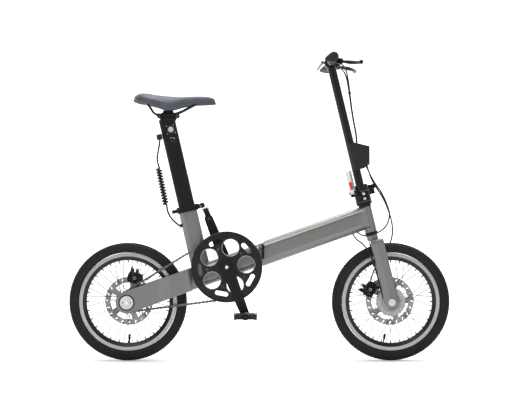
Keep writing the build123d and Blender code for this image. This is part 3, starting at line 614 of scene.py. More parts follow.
def tread_meshes(centre):
    """Rows of blocks round the tyre."""
    crown, half = TYRE_R - TYRE_W / 2, TYRE_W / 2
    h = sizes().tread_height
    rows = []
    for k, (angle, length_along) in enumerate(((-48, 7), (-24, 8), (0, 9), (24, 8), (48, 7))):
        a = math.radians(angle)
        reach = crown + (half - h * 0.9) * math.cos(a)
        offset = (half - h * 0.9) * math.sin(a)
        turn = Matrix.Rotation(-a, 4, "Y") @ Matrix.Rotation(math.radians(20 * (k - 2)), 4, "X")
        item = block(shift(0, 0, offset) @ turn,
                     (h * 1.8, length_along * MM, 6.2 * MM), 0.0004, 1)
        rows.append(ring_of(item, sizes().tread_count, reach, "tyre", wheel_place(centre),
                            (k % 2) * math.pi / sizes().tread_count))
    return rows


def valve_meshes(centre, angle):
    """Stem and cap of a valve that points at the hub."""
    c, s = math.cos(angle), math.sin(angle)
    inward = Vector((-c, 0, -s))
    foot = centre + Vector((c, 0, s)) * NIPPLE_R
    stem = place(foot, (0, 1, 0), inward)
    return [drum(stem @ shift(0, 0, 0.011), 0.0025, 0.024, steps=16),
            drum(stem @ shift(0, 0, 0.020), 0.0042, 0.018, 0.001, 12)]


class BIKE_OT_wheels(bpy.types.Operator):
    """Tyres with tread, two-tone rims, spoke nipples, valves and hub details"""

    bl_idname = "bike.wheels"
    bl_label = "Wheels"

    def execute(self, context):
        for name, centre, valve in (("rear", REAR, -88), ("front", FRONT, -100)):
            body = f"{name}_wheel"
            meshes = [tyre_mesh(centre), *tread_meshes(centre)]
            tyre = piece(f"{name}_tyre_tread", joined(meshes, "tyre"), "tyre", body)
            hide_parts(f"{name}_tyre")
            dress(f"{name}_rim", f"{name}_rim")
            dress("dark_steel", f"{name}_spokes")
            dress("rotor", f"{name}_rotor")
            piece(f"{name}_valve", joined(valve_meshes(centre, math.radians(valve)), "valve"),
                  "rubber", body)
            nipple = lathe([(0, -0.001), (0.0022, -0.001), (0.0018, 0.009), (0, 0.009)], 8,
                           place((0, 0, 0), (0, 1, 0), (-1, 0, 0)))
            nipples = ring_of(nipple, SPOKES, NIPPLE_R, "steel", wheel_place(centre))
            piece(f"{name}_nipples", nipples, "dark_steel", body)
        dress("black", "rear_hub")
        dress("steel", "rear_sprocket")
        dress("alloy", "motor_hub")
        self.motor_details()
        self.rotor_bolts()
        return {"FINISHED"}

    def motor_details(self):
        for side, name in SIDES:
            face = wheel_place(FRONT) @ shift(0, 0, side * MOTOR_FACE)
            if side < 0:
                face = face @ Matrix.Rotation(math.pi, 4, "X")
            screws = ring_of(hex_bolt(0.0024, 0.0022), 10, 0.0385, "bright", face)
            piece(f"motor_screws_{name}", screws, "bright", "front_wheel")
            lip = lathe([(0.030, 0), (0.0305, 0.0012), (0.0225, 0.004), (0.0165, 0.0045),
                         (0.0165, 0)], 48, face, closed=True)
            piece(f"motor_cover_{name}", lip, "alloy", "front_wheel")

    def rotor_bolts(self):
        for name, centre, y in (("rear", REAR, REAR_ROTOR_FACE),
                                ("front", FRONT, FRONT_ROTOR_FACE)):
            face = wheel_place(centre) @ shift(0, 0, y)
            bolts = ring_of(hex_bolt(0.0036, 0.0022), 6, 0.0225, "bright", face)
            piece(f"{name}_rotor_bolts", bolts, "bright", f"{name}_wheel")


# Drivetrain -------------------------------------------------------------------------------
PITCH, RING_TEETH, SPROCKET_TEETH = 12.7 * MM, 52, 16
CHAINLINE = -46.5 * MM
WINDOWS, WINDOW_R, WINDOW_PHASE = 5, 0.065, math.radians(7)    # round windows in the ring
RING_R = PITCH / 2 / math.sin(math.pi / RING_TEETH)
SPROCKET_R = PITCH / 2 / math.sin(math.pi / SPROCKET_TEETH)


def chain_track():
    """The pitch points of the chain, round the ring and the sprocket, in x and z."""
    span = (BB - REAR).length
    wrap = math.asin((RING_R - SPROCKET_R) / span)
    straight = span * math.cos(wrap)
    up = math.pi / 2 + wrap
    total = 2 * straight + 2 * RING_R * up + 2 * SPROCKET_R * (math.pi - up)
    count = 2 * round(total / PITCH / 2)
    points = []
    for i in range(count):
        d = i * total / count
        sign = 1
        if d > total / 2:
            d, sign = total - d, -1
        if d <= RING_R * up:
            a = d / RING_R
            u, v = span + RING_R * math.cos(a), RING_R * math.sin(a)
        elif d <= RING_R * up + straight:
            gone = d - RING_R * up
            u = span + RING_R * math.cos(up) - gone * math.cos(wrap)
            v = RING_R * math.sin(up) - gone * math.sin(wrap)
        else:
            a = up + (d - RING_R * up - straight) / SPROCKET_R
            u, v = SPROCKET_R * math.cos(a), SPROCKET_R * math.sin(a)
        points.append((u, sign * v))
    return points


def link_mesh(width, thick, plate_r, roller):
    """Two waisted plates joined by a pin or a roller; the link starts at its first pin."""
    outline = []
    for i in range(9):
        a = math.radians(60 + 240 * i / 8)
        outline.append((plate_r * math.cos(a), plate_r * math.sin(a)))
    outline.append((PITCH / 2, -plate_r * 0.62))
    for i in range(9):
        a = math.radians(-120 + 240 * i / 8)
        outline.append((PITCH + plate_r * math.cos(a), plate_r * math.sin(a)))
    outline.append((PITCH / 2, plate_r * 0.62))
    meshes = []
    for side in (-1, 1):
        low = side * width / 2
        rings = [[Vector((x, low + t * side, z)) for x, z in outline] for t in (0, thick)]
        meshes.append(loft(rings))
    for x in (0, PITCH):
        pin = place((x, 0, 0), FORWARD, (0, 1, 0))
        meshes.append(drum(pin, roller, width + (2.4 * thick if roller < 0.003 else 0),
                           0.0002, 10))
    return joined(meshes, "link")


class BIKE_OT_drivetrain(bpy.types.Operator):
    """Chain links, chainring trim, crank bolts and the guards"""

    bl_idname = "bike.drivetrain"
    bl_label = "Drivetrain"

    def execute(self, context):
        line = bpy.data.curves.new("track", "CURVE")
        line.dimensions = "3D"
        spline = line.splines.new("POLY")
        track = chain_track()
        spline.points.add(len(track) - 1)
        for point, (u, v) in zip(spline.points, track):
            point.co = (u, 0, v, 1)
        spline.use_cyclic_u = True
        curve = scratch(line)
        inner = scratch(link_mesh(0.0046, 0.0008, 0.0042, 0.0036))
        outer = scratch(link_mesh(0.0063, 0.0007, 0.0042, 0.0018))
        mesh = run_tree(track_tree(), {"Track": curve, "Inner": inner, "Outer": outer,
                                       "Material": mat("steel")},
                        scratch(bpy.data.meshes.new("host")))
        for thing in (curve, inner, outer):
            bpy.data.objects.remove(thing)
        centre = REAR.copy()
        centre.y = CHAINLINE
        mesh.transform(place(centre, BEAM_LINE, Vector((-BEAM_LINE.z, 0, BEAM_LINE.x))))
        chain = piece("chain_links", mesh, "chain_steel", "rear_frame")
        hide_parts("chain")
        dress("gloss_black", "chainring", "chain_guards")
        dress("black", "crank_arms")
        dress("dark_steel", "spindles")
        self.ring_trim()
        return {"FINISHED"}

    def ring_trim(self):
        face = place(BB + Vector((0, -0.052, 0)), FORWARD, (0, -1, 0))
        hoop = []
        for i in range(12):
            a = math.tau * i / 12
            hoop.append((0.0285 + 0.0012 * math.cos(a), 0.0006 * math.sin(a) + 0.0004))
        item = lathe(hoop, 40, Matrix.Identity(4), closed=True)
        rims = ring_of(item, WINDOWS, WINDOW_R, "bright", face, WINDOW_PHASE)
        piece("window_rims", rims, "rotor", "crankset")
        bolts = ring_of(hex_bolt(0.0055, 0.0018), WINDOWS, WINDOW_R, "bright", face,
                        WINDOW_PHASE + math.pi / WINDOWS)
        piece("ring_bolts", bolts, "dark_steel", "crankset")
        edge = lathe([(0.1125, 0), (0.1165, 0), (0.1172, -0.001), (0.1165, 0.0008),
                      (0.1125, 0.0012)], 96, face, closed=True)
        piece("guard_edge", edge, "gloss_black", "crankset")
        for sign, name in SIDES:
            end = place(BB + Vector((0, sign * 0.0702, 0)), FORWARD, (0, sign, 0))
            cap = lathe([(0.006, 0.0008), (0.0072, 0.0026), (0.0100, 0.0026), (0.0122, 0.001),
                         (0.0122, 0), (0.006, 0)], 36, end, closed=True)
            piece(f"crank_cap_{name}", cap, "gloss_black", "crankset")
            piece(f"crank_bolt_{name}", bolt_at(end, 0.0056, 0.0018), "bright", "crankset")


class BIKE_OT_pedals(bpy.types.Operator):
    """Pedals with a moulded body, a toothed cage and reflectors"""

    bl_idname = "bike.pedals"
    bl_label = "Pedals"

    def execute(self, context):
        for _, name in SIDES:
            spin = Vector(JOINTS[f"{name}_pedal_spin"]["pos_m"])
            long_dir = Vector((1, 0, 0)) if name == "right" else (spin - BB).normalized()
            long_dir.y = 0
            low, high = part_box(f"{name}_pedal")
            centre = Vector((spin.x, (low.y + high.y) / 2, spin.z))
            self.pedal(name, place(centre, long_dir, (0, 1, 0)), high.y - low.y)
        return {"FINISHED"}

    def pedal(self, name, at, width):
        body = f"{name}_pedal"
        half = 38 * MM
        barrel = lathe([(0.0062, -width / 2), (0.0105, -width / 2), (0.0125, -width / 4),
                        (0.0125, width / 4), (0.0105, width / 2), (0.0062, width / 2)], 28, at,
                       closed=True)
        bars = [barrel]
        for z in (-width / 2 + 0.009, 0.0, width / 2 - 0.009):
            bars.append(block(at @ shift(0, 0, z),
                              (2 * half - 0.006, 0.014, 0.012), 0.003, 3))
        core = piece(f"{name}_pedal_body", joined(bars, "core"), "plastic", body)
        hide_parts(f"{name}_pedal")
        ends, teeth = [], []
        for z in (-1, 1):
            ends.append(block(at @ shift(0, 0, z * (width / 2 - 0.0015)),
                              (2 * half - 0.016, 0.0165, 0.003), 0.001, 2))
        piece(f"{name}_pedal_ends", joined(ends, "ends"), "plastic", body)
        for y in (-1, 1):
            for x in (-1, 1):
                strip = at @ shift(x * (half - 0.0045), y * 0.0098, 0)
                teeth.append(block(strip, (0.009, 0.0016, width - 0.006), 0.0006, 2))
            for i in range(9):
                z = (i / 8 - 0.5) * (width - 0.012)
                for x in (-1, 1):
                    tooth = at @ shift(x * (half - 0.0012), y * 0.0108, z)
                    teeth.append(block(tooth, (0.0016, 0.0024, 0.005), 0.0005, 1))
        piece(f"{name}_pedal_cage", joined(teeth, "cage"), "rotor", body)
        lenses = [block(at @ shift(x * (half - 0.0028), 0, 0),
                        (0.0068, 0.0145, 0.052), 0.0015, 2) for x in (-1, 1)]
        piece(f"{name}_pedal_reflectors", joined(lenses, "lens"), "amber", body)


# Frame ------------------------------------------------------------------------------------
class BIKE_OT_frame(bpy.types.Operator):
    """Frame lacquer, clamp, caps and fittings on the frame"""

    bl_idname = "bike.frame"
    bl_label = "Frame"

    def execute(self, context):
        dress("paint", "rear_beam", "rear_arms", "seat_tube", "front_beam", "fork_crown")
        dress("black", "seat_clamp_collar", "seat_clamp_lever", "frame_latch_lever",
              "stem_hinge_lower", "headset_cups", "rear_caliper", "front_caliper")
        dress("silver", "axle_caps", "stem_latch_lever", "front_axle")
        dress("steel", "rear_axle", "frame_pins")
        dress("rubber", "lead_gland")
        self.axle_rings()
        self.caliper("rear", REAR + Vector((0.020, 0, 0.076)), 0.028, 0.067, "rear_frame")
        self.caliper("front", FRONT + Vector((-0.066, 0, 0.0385)), 0.023, 0.060, "fork")
        self.latch_catch()
        self.stem_trim()
        return {"FINISHED"}

    def stem_trim(self):
        """Bands and clamp bolts on the stem's lower half."""
        bands = []
        for s in (343, 378):
            at = STEER @ shift(0, 0, s * MM)
            bands.append(lathe([(0.0258, -0.0022), (0.0268, -0.0016), (0.0268, 0.0016),
                                (0.0258, 0.0022)], 64, at, closed=True))
        piece("stem_bands", joined(bands, "bands"), "dark_steel", "fork")
        bolts = []
        for side in (-1, 1):
            for s in (352, 368):
                root = STEER @ (Vector((0.004, side * 0.0252, s * MM)))
                bolts.append(bolt_at(place(root, STEER_X, (0, side, 0)), 0.0046, 0.0036))
        piece("stem_bolts", joined(bolts, "bolts"), "bright", "fork")

    def caliper(self, name, centre, inner, outer, body):
        """Adjuster knob, actuating arm, cable barrel and bolts of a disc caliper."""
        radial = Vector((centre.x - (REAR if name == "rear" else FRONT).x, 0,
                         centre.z - TYRE_R)).normalized()
        across_dir = Y_AXIS.cross(radial)
        dark, light = [], []
        inward = place(centre + Vector((0, inner, 0)), across_dir, (0, -1, 0))
        dark.append(lathe([(0, 0), (0.0125, 0), (0.0125, 0.0018), (0.0105, 0.003),
                           (0, 0.003)], 32, inward))
        dark.append(ring_of(block(Matrix.Identity(4), (0.0016, 0.0012, 0.0026), 0.0003, 1), 20,
                            0.0122, "black", inward @ shift(0, 0, 0.0013)))
        light.append(bolt_at(inward, 0.0055, 0.0036))
        for sign in (-1, 1):
            ear = centre + across_dir * (sign * 0.0205) + Vector((0, (inner + outer) / 2, 0))
            dark.append(block(place(ear, across_dir, radial), (0.011, 0.016, 0.022), 0.003, 2))
            for end in (-1, 1):
                spot = place(ear + radial * (end * 0.011), across_dir, radial * end)
                light.append(bolt_at(spot, 0.0042, 0.003))
            fin = centre + across_dir * (sign * 0.009) + radial * 0.018
            fin.y = (inner + outer) / 2
            dark.append(block(place(fin, across_dir, radial), (0.0035, 0.030, 0.006), 0.001, 1))
        arm_root = centre + Vector((0, outer + 0.0035, 0))
        arm = place(arm_root + radial * 0.013, across_dir, (0, 1, 0))
        dark.append(block(arm, (0.011, 0.036, 0.004), 0.0015, 2))
        tip = arm_root + radial * 0.027
        light.append(drum(place(tip, across_dir, (0, 1, 0)), 0.0052, 0.007, 0.0006, 20))
        barrel = centre + radial * 0.027 - across_dir * 0.019
        barrel.y = outer - 0.006
        dark.append(block(place(centre + radial * 0.018 - across_dir * 0.016
                                + Vector((0, outer - 0.006, 0)), across_dir, radial),
                          (0.012, 0.010, 0.022), 0.003, 2))
        light.append(drum(place(barrel, across_dir, radial), 0.0042, 0.016, 0.0006, 16))
        piece(f"{name}_caliper_body", joined(dark, "body"), "black", body)
        piece(f"{name}_caliper_bolts", joined(light, "bolts"), "steel", body)

    def latch_catch(self):
        """Red safety catch at the foot of the stem's latch."""
        low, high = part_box("stem_latch_lever")
        spot = Vector(((low.x + high.x) / 2, low.y - 0.0006, low.z + 0.030))
        catch = block(place(spot, STEER_X, STEER_S), (0.009, 0.0042, 0.026), 0.0018, 2)
        piece("stem_latch_catch", catch, "red", "stem_latch")

    def axle_rings(self):
        for sign, name in SIDES:
            face = place(REAR + Vector((0, sign * AXLE_FACE, 0)), FORWARD, (0, sign, 0))
            ring = lathe([(0.0222, 0), (0.0262, 0), (0.0258, 0.0022), (0.0235, 0.0032),
                          (0.0222, 0.003)], 48, face, closed=True)
            piece(f"axle_ring_{name}", ring, "black", "rear_frame")
            nut = lathe([(0, 0.0078), (0.0055, 0.0078), (0.007, 0.0066), (0.007, 0.004),
                         (0, 0.004)], 6, face)
            piece(f"axle_nut_{name}", nut, "bright", "rear_frame", smooth=False)


FORK_OFFSET = 9


class BIKE_OT_fork(bpy.types.Operator):
    """Fork legs with a ridge down the outside"""

    bl_idname = "bike.fork"
    bl_label = "Fork"

    def execute(self, context):
        meshes = []
        for sign in (-1, 1):
            sections = []
            for i in range(9):
                a = math.radians(-88 + 88 * i / 8)
                sections.append((25 * math.sin(a), 25 * math.cos(a)))
            sections += [(20, 24.2), (45, 22.6), (120, 22), (200, 22), (209, 21), (212, 18)]
            rings = []
            for s, half in sections:
                flare = min(1.0, half / 22)
                outline = [(-half, 50), (half, 50), (half, 50 + 10 * flare),
                           (half * 0.86, 50 + 13 * flare), (-half * 0.08, 50 + 17.6 * flare),
                           (-half * 0.88, 50 + 15 * flare), (-half, 50 + 11.5 * flare)]
                rings.append([STEER @ in_mm(FORK_OFFSET + x, sign * y, s) for x, y in outline])
            meshes.append(loft(rings))
        legs = piece("fork_leg_pair", joined(meshes, "legs"), "paint", "fork",
                     smooth=False)
        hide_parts("fork_legs")
        return {"FINISHED"}


# Saddle -----------------------------------------------------------------------------------
def saddle_half_width(t):
    """Half width of the saddle, t from 0 at the rear to 1 at the nose."""
    stops = [(0, 0.030), (0.03, 0.056), (0.08, 0.073), (0.18, 0.085), (0.28, 0.082),
             (0.42, 0.058), (0.55, 0.038), (0.7, 0.0295), (0.88, 0.0225), (0.96, 0.018),
             (1, 0.008)]
    return curve_through(stops, t)


def curve_through(stops, t):
    """A smooth curve through (t, value) stops, without overshoot between equal slopes."""
    for i, ((t0, v0), (t1, v1)) in enumerate(zip(stops, stops[1:])):
        if t <= t1:
            before = stops[max(i - 1, 0)]
            after = stops[min(i + 2, len(stops) - 1)]
            m0 = (v1 - before[1]) / (t1 - before[0])
            m1 = (after[1] - v0) / (after[0] - t0)
            d, k = t1 - t0, (t - t0) / (t1 - t0)
            return ((2 * k**3 - 3 * k**2 + 1) * v0 + (k**3 - 2 * k**2 + k) * d * m0
                    + (3 * k**2 - 2 * k**3) * v1 + (k**3 - k**2) * d * m1)
    return stops[-1][1]


SEAM_D = 0.0022
INFLATE_STEPS, INFLATE_CAP = 12, 0.003


class BIKE_OT_saddle(bpy.types.Operator):
    """Padded saddle with a rolled edge, a side seam and rails"""

    bl_idname = "bike.saddle"
    bl_label = "Saddle"

    def execute(self, context):
        low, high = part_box("saddle_cover")
        top = [(0, 0.868), (0.03, 0.879), (0.09, 0.886), (0.17, 0.884), (0.27, 0.8785),
               (0.42, 0.8745), (0.6, 0.8725), (0.78, 0.8755), (0.9, 0.875), (0.97, 0.8705),
               (1, 0.864)]
        skirt = [(0, 0.860), (0.04, 0.855), (0.15, 0.848), (0.27, 0.838), (0.38, 0.8285),
                 (0.46, 0.8285), (0.58, 0.837), (0.72, 0.8435), (1, 0.8455)]
        rings, shell = [], []
        count = 61
        for i in range(count):
            t = 0.5 - 0.5 * math.cos(math.pi * i / (count - 1))
            x = low.x + 0.003 + (high.x - low.x - 0.006) * t
            half = saddle_half_width(t) - 0.002
            zt, zb = curve_through(top, t) - 0.002, curve_through(skirt, t)
            zi = max(zb + 0.003, 0.855)
            inset = min(0.004, half * 0.25)
            ring = []
            for k in range(22):
                a = math.pi * k / 21
                c, h = math.cos(a), math.sin(a)
                ring.append((x, half * math.copysign(abs(c) ** 0.75, c),
                             zb + (zt - zb) * h ** 0.62))
            for y in (-1, 1):
                side = [(y * (half - inset), zb + 0.0006), (y * (half - 2 * inset), zi - 0.002),
                        (y * half * 0.4, zi)]
                ring += [(x, py, pz) for py, pz in (side if y < 0 else side[::-1])]
            rings.append(ring)
            inner = max(0.002, half - 2.2 * inset)
            shell.append([(x + (0.006 if i == 0 else -0.006 if i == count - 1 else 0), y, z)
                          for y, z in ((inner, zi - 0.0008), (-inner, zi - 0.0008),
                                       (-inner, zi - 0.005), (0, zi - 0.0062),
                                       (inner, zi - 0.005))])
        cover = piece("saddle_cushion", loft(rings), "leather", "seat_post")
        self.inflate(cover)
        around = len(rings[0])
        seams = []
        for k in (2, 19):
            seams.append([cover.data.vertices[i * around + k].co.copy()
                          for i in range(2, count - 2)])
        soften(cover, 1)
        for polygon in cover.data.polygons:
            polygon.use_smooth = True
        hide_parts("saddle_cover")
        base = piece("saddle_shell", loft(shell), "plastic", "seat_post")
        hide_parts("saddle_base")
        for side, line in zip(("right", "left"), seams):
            piping = as_mesh(nurbs(f"saddle_seam_{side}", [p / MM for p in line], SEAM_D),
                             "leather")
            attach(piping, "seat_post")
        self.head()
        self.display()
        dress("black", "saddle_rails", "seat_post_tube")
        dress("plastic", "battery_pack")
        dress("silver", "power_button")
        return {"FINISHED"}

    def head(self):
        """Clamp that holds the rails on top of the post."""
        low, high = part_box("seat_post_head")
        at = Matrix.Translation((low + high) / 2)
        parts = [block(at @ shift(0, 0, -0.0075), (0.054, 0.040, 0.019), 0.005, 3),
                 block(at @ shift(0, 0, 0.0035), (0.046, 0.056, 0.012), 0.004, 3),
                 block(at @ shift(0, 0, 0.0125), (0.034, 0.050, 0.008), 0.003, 3)]
        heads = []
        for x in (-0.0295, 0.0295):
            spot = at.translation + Vector((x, 0, -0.001))
            parts.append(drum(place(spot, FORWARD, (0, 1, 0)), 0.0082, 0.050, 0.0012, 24))
            for y in (-1, 1):
                face = place(spot + Vector((0, y * 0.025, 0)), FORWARD, (0, y, 0))
                heads.append(bolt_at(face, 0.005, 0.0026))
        clamp = piece("seat_clamp_head", joined(parts, "head"), "black", "seat_post")
        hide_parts("seat_post_head")
        piece("seat_head_bolts", joined(heads, "bolts"), "dark_steel", "seat_post")

    def display(self):
        """Bezel round the power button and a row of charge lights."""
        centre = middle("power_button")
        face = place((centre.x, -0.018, centre.z), SEAT_F, (0, -1, 0))
        bezel = lathe([(0.0092, 0), (0.0128, 0), (0.0124, 0.0009), (0.0096, 0.0012)], 40, face,
                      closed=True)
        piece("button_bezel", bezel, "dark_steel", "seat_post")
        plate = block(face @ shift(-0.001, 0.0, -0.0006)
                      @ shift(0, -0.031, 0), (0.020, 0.026, 0.0022), 0.001, 2)
        piece("charge_window", plate, "gloss_black", "seat_post")
        lights = []
        for i in range(4):
            spot = face @ shift(-0.0065 + 0.0042 * i, -0.026 - 0.0018 * i, 0.0006)
            lights.append(drum(spot, 0.0011, 0.0008, 0.0002, 12))
        for x, y in ((-0.012, 0.014), (0.012, 0.014), (-0.014, -0.012), (0.013, -0.013)):
            lights.append(drum(face @ shift(x, y, 0.0003), 0.0012, 0.0008,
                               0.0002, 12))
        piece("charge_lights", joined(lights, "lights"), "white", "seat_post")

    def inflate(self, cover):
        """A short cloth run under light pressure, capped, so that the skin is taut."""
        before = [v.co.copy() for v in cover.data.vertices]
        cloth = cover.modifiers.new("cloth", "CLOTH")
        cloth.settings.use_pressure = True
        cloth.settings.uniform_pressure_force = 4
        cloth.settings.tension_stiffness = cloth.settings.compression_stiffness = 40
        cloth.settings.effector_weights.gravity = 0
        cloth.point_cache.frame_start, cloth.point_cache.frame_end = 1, INFLATE_STEPS
        for step in range(1, INFLATE_STEPS + 1):
            bpy.context.scene.frame_set(step)
        mesh = evaluated_mesh(cover)
        cover.modifiers.clear()
        for vertex, old in zip(mesh.vertices, before):
            move = vertex.co - old
            if move.length > INFLATE_CAP:
                move = move.normalized() * INFLATE_CAP
            vertex.co = old + move
        cover.data = mesh
        bpy.context.scene.frame_set(1)


# Cords and cables ---------------------------------------------------------------------------
def nurbs(name, points, diameter):
    """A smooth NURBS tube through the space of its control points, given in mm."""
    curve = bpy.data.curves.new(name, "CURVE")
    curve.dimensions = "3D"
    spline = curve.splines.new("NURBS")
    spline.points.add(len(points) - 1)
    for point, co in zip(spline.points, points):
        point.co = (*(Vector(co) * MM), 1)
    spline.order_u = 3
    spline.use_endpoint_u = True
    spline.resolution_u = 8
    curve.bevel_depth = diameter / 2
    curve.bevel_resolution = 3
    curve.use_fill_caps = True
    curve.materials.append(mat("cable"))
    thing = bpy.data.objects.new(name, curve)
    bpy.context.scene.collection.objects.link(thing)
    return thing


def as_mesh(thing, finish_name="cable"):
    """Turns a curve piece into a plain mesh piece."""
    mesh, name = evaluated_mesh(thing), thing.name
    bpy.data.objects.remove(thing)
    return piece(name, mesh, finish_name)


LEAD_Y = -14.0
COIL_TOP, COIL_END = Vector((-334.0, LEAD_Y, 639.0)), Vector((-309.0, LEAD_Y, 513.0))


def seat_point(f, y, t):
    return SEAT @ in_mm(f, y, t) / MM


class BIKE_OT_lead(bpy.types.Operator):
    """Coiled battery lead with its plug"""

    bl_idname = "bike.lead"
    bl_label = "Battery lead"

    def execute(self, context):
        wire, outer = sizes().lead_diameter / MM, sizes().coil_diameter / MM
        axis = COIL_END - COIL_TOP
        run = axis.length
        axis.normalize()
        side = axis.cross(Y_AXIS).normalized()
        other = axis.cross(side)
        radius = (outer - wire) / 2
        points = [seat_point(-37, LEAD_Y, 468), Vector((-332, LEAD_Y + 1, 705)),
                  Vector((-338, LEAD_Y, 680)), Vector((-338, LEAD_Y - 1, 659))]
        turns, steps = sizes().coil_turns, 12
        for i in range(turns * steps + 1):
            a = math.tau * i / steps
            along = 2 + (run - 4) * i / (turns * steps)
            ends = min(i, turns * steps - i)
            reach = radius * min(1.0, 0.3 + 0.7 * ends / 5) * 1.035
            points.append(COIL_TOP + axis * along
                          + (side * math.cos(a) + other * math.sin(a)) * reach)
        points += [Vector((-304, LEAD_Y, 493)), Vector((-295, LEAD_Y + 2, 475)),
                   Vector((-281, LEAD_Y + 3.6, 459)), seat_point(-37, LEAD_Y + 4, 176)]
        lead = nurbs("coiled_lead", points, sizes().lead_diameter)
        lead.data.bevel_resolution = 2
        lead.data.splines[0].resolution_u = 3
        plain = lead.data.copy()
        plain.bevel_depth = 0
        plain.use_fill_caps = False
        probe = scratch(plain)
        path = evaluated_mesh(probe)
        bpy.data.objects.remove(probe)
        lead = as_mesh(lead)
        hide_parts("battery_lead", "battery_coil")
        plug = self.plug()
        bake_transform(lead)
        return {"FINISHED"}

    def plug(self):
        at = SEAT @ Matrix.Translation(in_mm(-36, LEAD_Y, 478))
        body = block(at, (0.0178, 0.0155, 0.0195), 0.003, 3)
        ribs = [block(at @ shift(-0.0015, 0, z * MM), (0.0170, 0.0160, 0.0012),
                      0.0004, 1) for z in (-4, -1, 2, 5)]
        plug = piece("lead_plug", joined([body, *ribs], "plug"), "plastic", "seat_post")
        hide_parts("battery_plug")
        return plug


class BIKE_OT_cables(bpy.types.Operator):
    """Brake and motor cables, with their tie"""

    bl_idname = "bike.cables"
    bl_label = "Cables"

    def execute(self, context):
        thick = sizes().cable_diameter
        bar = BAR_CENTRE / MM
        forward = Matrix.Rotation(BAR_TILT, 3, "Y") @ Vector((1, 0, 0))
        up = Matrix.Rotation(BAR_TILT, 3, "Y") @ Vector((0, 0, 1))
        for sign, name in SIDES:
            start = bar + forward * 30 - up * 4
            start.y = sign * 112
            route = [start, (270, sign * 88, 976), (284, sign * 60, 962), (293, sign * 34, 930),
                     (299, sign * 20, 886), (305, sign * 14, 836), (314, sign * 12, 782),
                     (322, sign * 11, 746), (323, sign * 10.5, 712)]
            cable = as_mesh(nurbs(f"{name}_lever_cable", route, thick))
            if sign < 0:
                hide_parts("upper_cables")
            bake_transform(cable)
        upper = [(352, -16, 646), (372, -19, 600), (402, -25, 560), (423, -29, 515),
                 (429, -31, 492)]
        lower = [(429, -31, 492), (430, -32, 474), (418, -34, 442), (391, -35, 423),
                 (360, -34, 412), (336, -26, 414), (320, -15, 428)]
        top = self.lay("rear_brake_hose_upper", upper, thick, "stem", "fork", upper[0], upper[3])
        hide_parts("rear_brake_cable")
        self.lay("rear_brake_hose_lower", lower, thick, "fork", "front_frame", lower[1], lower[5])
        front = [(356, 12, 652), (366, 16, 612), (388, 24, 574), (414, 32, 536), (434, 42, 488),
                 (446, 58, 446), (445, 72, 404), (430, 77, 366), (404, 75, 330), (382, 70, 292),
                 (371, 60, 262), (368, 52, 236)]
        hose = self.lay("front_brake_hose", front, thick, "stem", "fork", front[0], front[5])
        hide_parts("front_brake_cable")
        motor = [(306, -8, 424), (318, -17, 402), (338, -34, 390)]
        motor += [STEER @ (Vector(p) * MM) / MM for p in ((-28, -54, 188), (-20, -60, 160),
                                                          (-17, -59, 110), (-16, -59, 60),
                                                          (-15, -58, 14))]
        wire = self.lay("motor_wire", motor, thick, "front_frame", "fork", motor[0], motor[4])
        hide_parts("motor_cable")
        self.tie()
        return {"FINISHED"}

    def tie(self):
        """Strap that holds the two upper cables together."""
        at = place(in_mm(299, 0, 886), (1, 0, 0.2), (-0.24, 0, 1))
        outline = rounded(0.0085, 0.0475, 0.004)
        inner = rounded(0.0062, 0.0452, 0.003)
        sections = [[at @ Vector((x, y, z)) for x, y in pts] for pts, z in (
            (inner, -0.0025), (outline, -0.0025), (outline, 0.0025), (inner, 0.0025),
            (inner, -0.0025))]
        piece("cable_strap", loft(sections, caps=False), "plastic", "stem")

    def lay(self, name, route, thick, a, b, start, end):
        cable = as_mesh(nurbs(name, route, thick))
        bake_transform(cable)
        return cable


